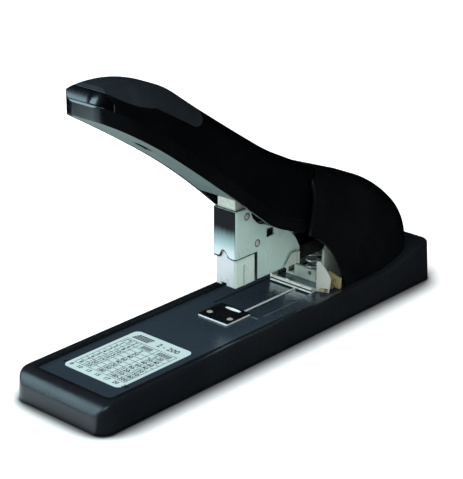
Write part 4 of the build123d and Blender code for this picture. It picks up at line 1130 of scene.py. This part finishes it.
@dataclass
class BaseUnit(Unit):
    """The base with its deck, chart, anvil, bracket, cover and two springs.

    Attributes:
        chart: the print on the label.
        lifter: the spring that lifts the magazine arm.
        returner: the spring that lifts the handle.
        lifter_keep: the share of its height that the lifter keeps at full press; not used.
        leg_low: where the returner starts to follow the handle, in metres; not used.
        leg_high: where it fully does; not used.
    """

    chart: CapacityChart = CapacityChart()
    lifter: WireSpring = WireSpring(
        "arm_lifting_spring", "arm_spring", "steel", centre=(-74.0, 0.0, 19.5),
        axis=(0.0, 0.0, 1.0), across=(1.0, 0.0, 0.0), radius=5.2, pitch=4.275, turns=4.0,
        wire=1.4, tail_in=1.4, tail_out=1.4,
    )
    returner: WireSpring = WireSpring(
        "handle_return_spring", "handle_spring", "steel", centre=(-96.0, -3.651, 60.0),
        axis=(0.0, 1.0, 0.0), across=(-1.0, 0.0, 0.0), radius=5.3, pitch=2.3, turns=3.175,
        wire=1.6, tail_in=40.4, tail_out=38.5,
    )
    lifter_keep: float = 0.66
    leg_low: Point = (-0.100, 0.0, 0.055)
    leg_high: Point = (-0.094, 0.0, 0.066)

    def finishes(self) -> dict[Finish, tuple[str, ...]]:
        """The unit's nodes, sorted by finish.

        Returns:
            The nodes that each finish goes on.
        """
        return {
            BASE_SHELL: ("base_shell",),
            BLACK_SHELL: ("rear_cover",),
            DECK_PAINT: ("deck_plate",),
            ANVIL_BLACK: ("anvil_plate",),
            LABEL_STOCK: ("capacity_label",),
            CHROME: ("anvil_rivets",),
            DARK_STEEL: ("bottom_plate", "pivot_clips"),
            ZINC: ("frame_bracket",),
            RUBBER: ("rubber_feet",),
            STEEL: ("bottom_screws", "frame_screws", "cover_screws", "main_pivot_pin",
                    "pivot_washers"),
        }

    def build(self) -> None:
        """Print the chart and wind the two springs."""
        self.chart.build(self.palette.of(PRINT_INK))
        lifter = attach(self.lifter.build(self.palette.of(STEEL)), Body.BASE.value)
        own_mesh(lifter)
        returner = self.returner.build(self.palette.of(STEEL))
        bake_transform(returner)


@dataclass
class HandleUnit(Unit):
    """The lever handle with its grip, band, underside and roller."""

    def finishes(self) -> dict[Finish, tuple[str, ...]]:
        """The unit's nodes, sorted by finish.

        Returns:
            The nodes that each finish goes on.
        """
        return {
            HANDLE_SHELL: ("handle_shell",),
            GRIP_SKIN: ("soft_grip",),
            BLACK_GLOSS: ("handle_band",),
            GREY_PLATE: ("handle_underside",),
            DARK_STEEL: ("handle_lever",),
            STEEL: ("handle_screw", "drive_roller", "roller_pin"),
        }


@dataclass
class MagazineUnit(Unit):
    """The magazine head with its driver, drawer, staples, follower and latch.

    Attributes:
        staples: the strip in the drawer.
        pusher: the spring behind the follower.
        pusher_keep: the share of its length that the pusher keeps when squashed; not used.
    """

    staples: StapleStrip = StapleStrip()
    pusher: WireSpring = WireSpring(
        "staple_pusher_spring", "follower_spring", "steel", centre=(-42.65, 0.0, 48.0),
        axis=(1.0, 0.0, 0.0), across=(0.0, 0.0, 1.0), radius=2.6, pitch=2.74, turns=5.0,
        wire=0.7, tail_in=0.7, tail_out=0.7,
    )
    pusher_keep: float = 0.33

    def finishes(self) -> dict[Finish, tuple[str, ...]]:
        """The unit's nodes, sorted by finish.

        Returns:
            The nodes that each finish goes on.
        """
        return {
            HOUSING: ("magazine_housing",),
            CHROME: ("housing_rivets",),
            DARK_STEEL: ("arm_beam",),
            PLUNGER_ZINC: ("driver_block",),
            CAP_ZINC: ("drawer_cap",),
            ZINC: ("drawer_latch",),
            STEEL: ("arm_bushes", "driver_blade", "drawer_rail", "staple_follower"),
        }

    def build(self) -> None:
        """Lay the staples and wind the follower's spring."""
        self.staples.build(self.palette.of(BRIGHT_STEEL))
        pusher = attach(self.pusher.build(self.palette.of(STEEL)), Body.DRAWER.value)
        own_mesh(pusher)


@dataclass
class StopUnit(Unit):
    """The sliding paper stop and its brass tab."""

    def finishes(self) -> dict[Finish, tuple[str, ...]]:
        """The unit's nodes, sorted by finish.

        Returns:
            The nodes that each finish goes on.
        """
        return {
            STOP_STEEL: ("stop_bracket", "stop_rivet"),
            STEEL: ("stop_keeper",),
            BRASS: ("stop_tab",),
        }


@dataclass(frozen=True)
class Softbox:
    """A rectangular light.

    Attributes:
        name: the light's name.
        towards: direction from the object to the light.
        away: distance in metres.
        size: width and height in metres.
        power: watts.
        tint: colour of the light.
    """

    name: str
    towards: Point
    away: float
    size: tuple[float, float]
    power: float
    tint: Tone = (0.8, 1.0, 1.06)

    def build(self, aim: np.ndarray) -> None:
        """Hang the light so that it faces the aim.

        Args:
            aim: the point it shines on, in metres.
        """
        light = bpy.data.lights.new(self.name, "AREA")
        light.shape = "RECTANGLE"
        light.size, light.size_y = self.size
        light.energy = self.power
        light.color = self.tint
        lamp = bpy.data.objects.new(self.name, light)
        back = np.array(self.towards) / np.linalg.norm(self.towards)
        lamp.matrix_world = facing(aim + back * self.away, back)
        bpy.context.scene.collection.objects.link(lamp)
        LOG.info("hung %s", self.name)


def facing(place: np.ndarray, back: np.ndarray) -> Matrix:
    """A matrix at a place whose -Z looks against a direction, with Z up in its picture.

    Where the direction is steep, Y is up instead.

    Args:
        place: where it stands.
        back: unit vector from what it looks at towards itself.
    Returns:
        The matrix.
    """
    upright = np.array([0.0, 0.0, 1.0]) if abs(back[2]) < STEEP else np.array([0.0, 1.0, 0.0])
    right = np.cross(upright, back)
    right /= np.linalg.norm(right)
    up = np.cross(back, right)
    turn = np.stack([right, up, back, place], axis=1)
    return Matrix(np.vstack([turn, [0.0, 0.0, 0.0, 1.0]]).tolist())


@dataclass
class Studio:
    """A white floor, soft lights, dark drapes that only reflections see, and the camera.

    The drapes are a dome, r (cos a cos e, sin a cos e, sin e), and a flat sheet with a
    rectangular gap in front and to the right, so that glossy faces mirror a white floor only
    there and darkness elsewhere. Sizes are in metres, angles in degrees.

    Attributes:
        aim: what the camera and the lights look at.
        azimuth: the camera's angle from +X towards +Y.
        elevation: its angle over the floor.
        away: its distance from the aim.
        slide_right: how far it then moves to its right.
        slide_up: how far it then moves up its picture.
        lens: focal length in millimetres.
        sensor: sensor width in millimetres.
        nearest: where its view starts.
        floor_half: half the floor's side.
        dome: radius r of the dome.
        dome_rows: rings of points up the dome.
        dome_columns: points round a ring.
        drape_lift: height of the flat sheet over the floor.
        gap_middle: middle of the sheet's gap.
        gap_half: half sizes of the gap.
        fill: strength of the even light from all round.
        contact_mm: reach of the close shadow.
        contact_open: openness at which the paper is darkest, and at which it is white.
        contact_dark: the darkest tone.
        lift: strength of the paper's own glow.
        boxes: the lights.
    """

    aim: Point = (0.0, 0.0, 0.060)
    azimuth: float = 42.174
    elevation: float = 21.932
    away: float = 1.034
    slide_right: float = -0.004897
    slide_up: float = 0.003519
    lens: float = 125.83
    sensor: float = 36.0
    nearest: float = 0.05
    floor_half: float = 4.0
    dome: float = 2.5
    dome_rows: int = 17
    dome_columns: int = 64
    drape_lift: float = 0.0005
    gap_middle: Point = (0.335, -0.165, 0.0)
    gap_half: Point = (0.285, 0.195, 0.0)
    fill: float = 0.95
    contact_mm: float = 22.0
    contact_open: Span = (0.52, 1.0)
    contact_dark: float = 0.1
    lift: float = 0.2
    boxes: tuple[Softbox, ...] = (
        Softbox("key_light", (0.65, 0.15, 0.74), away=1.0, size=(0.5, 0.4), power=4.6),
        Softbox("side_light", (0.6, -0.62, 0.46), away=1.2, size=(0.8, 0.62), power=8.0),
        Softbox("low_strip", (0.78, -0.62, 0.12), away=1.2, size=(0.7, 0.16), power=1.5),
    )

    def cloth(self) -> bpy.types.Material:
        """The drapes' dead black.

        Returns:
            The drapes' material.
        """
        sheet = NodeSheet("drape_black")
        sheet.set(Base_Color=sheet.colour((0.0, 0.0, 0.0)), Roughness=1.0, Specular_IOR_Level=0.0)
        return sheet.material

    def paper(self) -> bpy.types.Material:
        """White paper that keeps a close shadow under what stands on it.

        Its tone rises smoothly from dark to white with the share of open sky within reach. A
        weak glow in that tone, which lights nothing, keeps the open paper white.

        Returns:
            The floor's material.
        """
        sheet = NodeSheet("floor_white")
        sheet.set(Roughness=1.0, Specular_IOR_Level=0.0, Emission_Color=sheet.colour(WHITE))
        share = sheet.openness(self.contact_mm, FLOOR_SAMPLES)
        shade = sheet.span(share, self.contact_open, (self.contact_dark, 1.0))
        sheet.join(shade, sheet.shader.inputs["Base Color"])
        ray = sheet.add("ShaderNodeLightPath").outputs
        seen = sheet.math("MAXIMUM", ray["Is Camera Ray"], ray["Is Glossy Ray"])
        glow = sheet.math("MULTIPLY", sheet.times(shade, seen), self.lift)
        sheet.join(glow, sheet.shader.inputs["Emission Strength"])
        return sheet.material

    def drape(self, name: str, points: np.ndarray, rows: int,
              material: bpy.types.Material) -> bpy.types.Object:
        """Hang a stage surface that only glossy rays see.

        Args:
            name: the drape's name.
            points: its rings of points, in metres.
            rows: how many rings there are.
            material: its finish.
        Returns:
            The drape.
        """
        faces = grid_faces(rows, self.dome_columns, True).tolist()
        piece = make_piece(name, points, faces, material, True)
        piece.visible_camera = False
        piece.visible_diffuse = False
        piece.visible_transmission = False
        piece.visible_volume_scatter = False
        piece.visible_shadow = False
        return piece

    def build_floor(self) -> None:
        """Lay the floor and hang the drapes."""
        half = self.floor_half
        corners = np.array([[-1, -1, 0], [1, -1, 0], [1, 1, 0], [-1, 1, 0]]) * half
        floor = make_piece("floor", corners, [[0, 1, 2, 3]], self.paper(), False)
        black = self.cloth()
        around = np.linspace(0.0, 2 * np.pi, self.dome_columns, endpoint=False)
        lift = np.linspace(0.0, np.pi / 2, self.dome_rows)
        dome = np.stack([
            np.outer(np.cos(lift), np.cos(around)), np.outer(np.cos(lift), np.sin(around)),
            np.outer(np.sin(lift), np.ones_like(around)),
        ], axis=-1).reshape(-1, 3) * self.dome
        flat = np.stack([np.cos(around), np.sin(around), np.zeros_like(around)], axis=1)
        square = flat / np.abs(flat).max(axis=1, keepdims=True)
        inner = square * self.gap_half + self.gap_middle
        ring = np.concatenate([inner, flat * self.dome]) + (0.0, 0.0, self.drape_lift)
        self.drape("drape_dome", dome, self.dome_rows, black)
        self.drape("drape_floor", ring, 2, black)

    def build_camera(self) -> None:
        """Stand the camera at the photograph's angle."""
        turn, rise = np.radians(self.azimuth), np.radians(self.elevation)
        back = np.array([np.cos(rise) * np.cos(turn), np.cos(rise) * np.sin(turn), np.sin(rise)])
        right = np.array([-np.sin(turn), np.cos(turn), 0.0])
        up = np.cross(back, right)
        place = np.array(self.aim) + back * self.away
        place = place + right * self.slide_right + up * self.slide_up
        lens = bpy.data.cameras.new("camera")
        lens.lens = self.lens
        lens.sensor_width = self.sensor
        lens.clip_start = self.nearest
        camera = bpy.data.objects.new("camera", lens)
        camera.matrix_world = facing(place, back)
        bpy.context.scene.collection.objects.link(camera)
        bpy.context.scene.camera = camera

    def build(self) -> None:
        """Set up the floor, the light and the camera."""
        self.build_floor()
        for box in self.boxes:
            box.build(np.array(self.aim))
        world = bpy.data.worlds.new("studio")
        world.use_nodes = True
        sky = world.node_tree.nodes["Background"]
        sky.inputs["Color"].default_value = (*WHITE, 1.0)
        sky.inputs["Strength"].default_value = self.fill
        bpy.context.scene.world = world
        bpy.context.scene.view_settings.view_transform = "Standard"
        self.build_camera()


def main() -> None:
    """Dress every unit, add its pieces and set up the studio."""
    logging.basicConfig(level=logging.INFO, format="%(name)s: %(message)s")
    palette = Palette()
    for unit in (BaseUnit(palette), HandleUnit(palette), MagazineUnit(palette), StopUnit(palette)):
        unit.dress()
        unit.build()
    Studio().build()


if __name__ == "__main__":
    main()
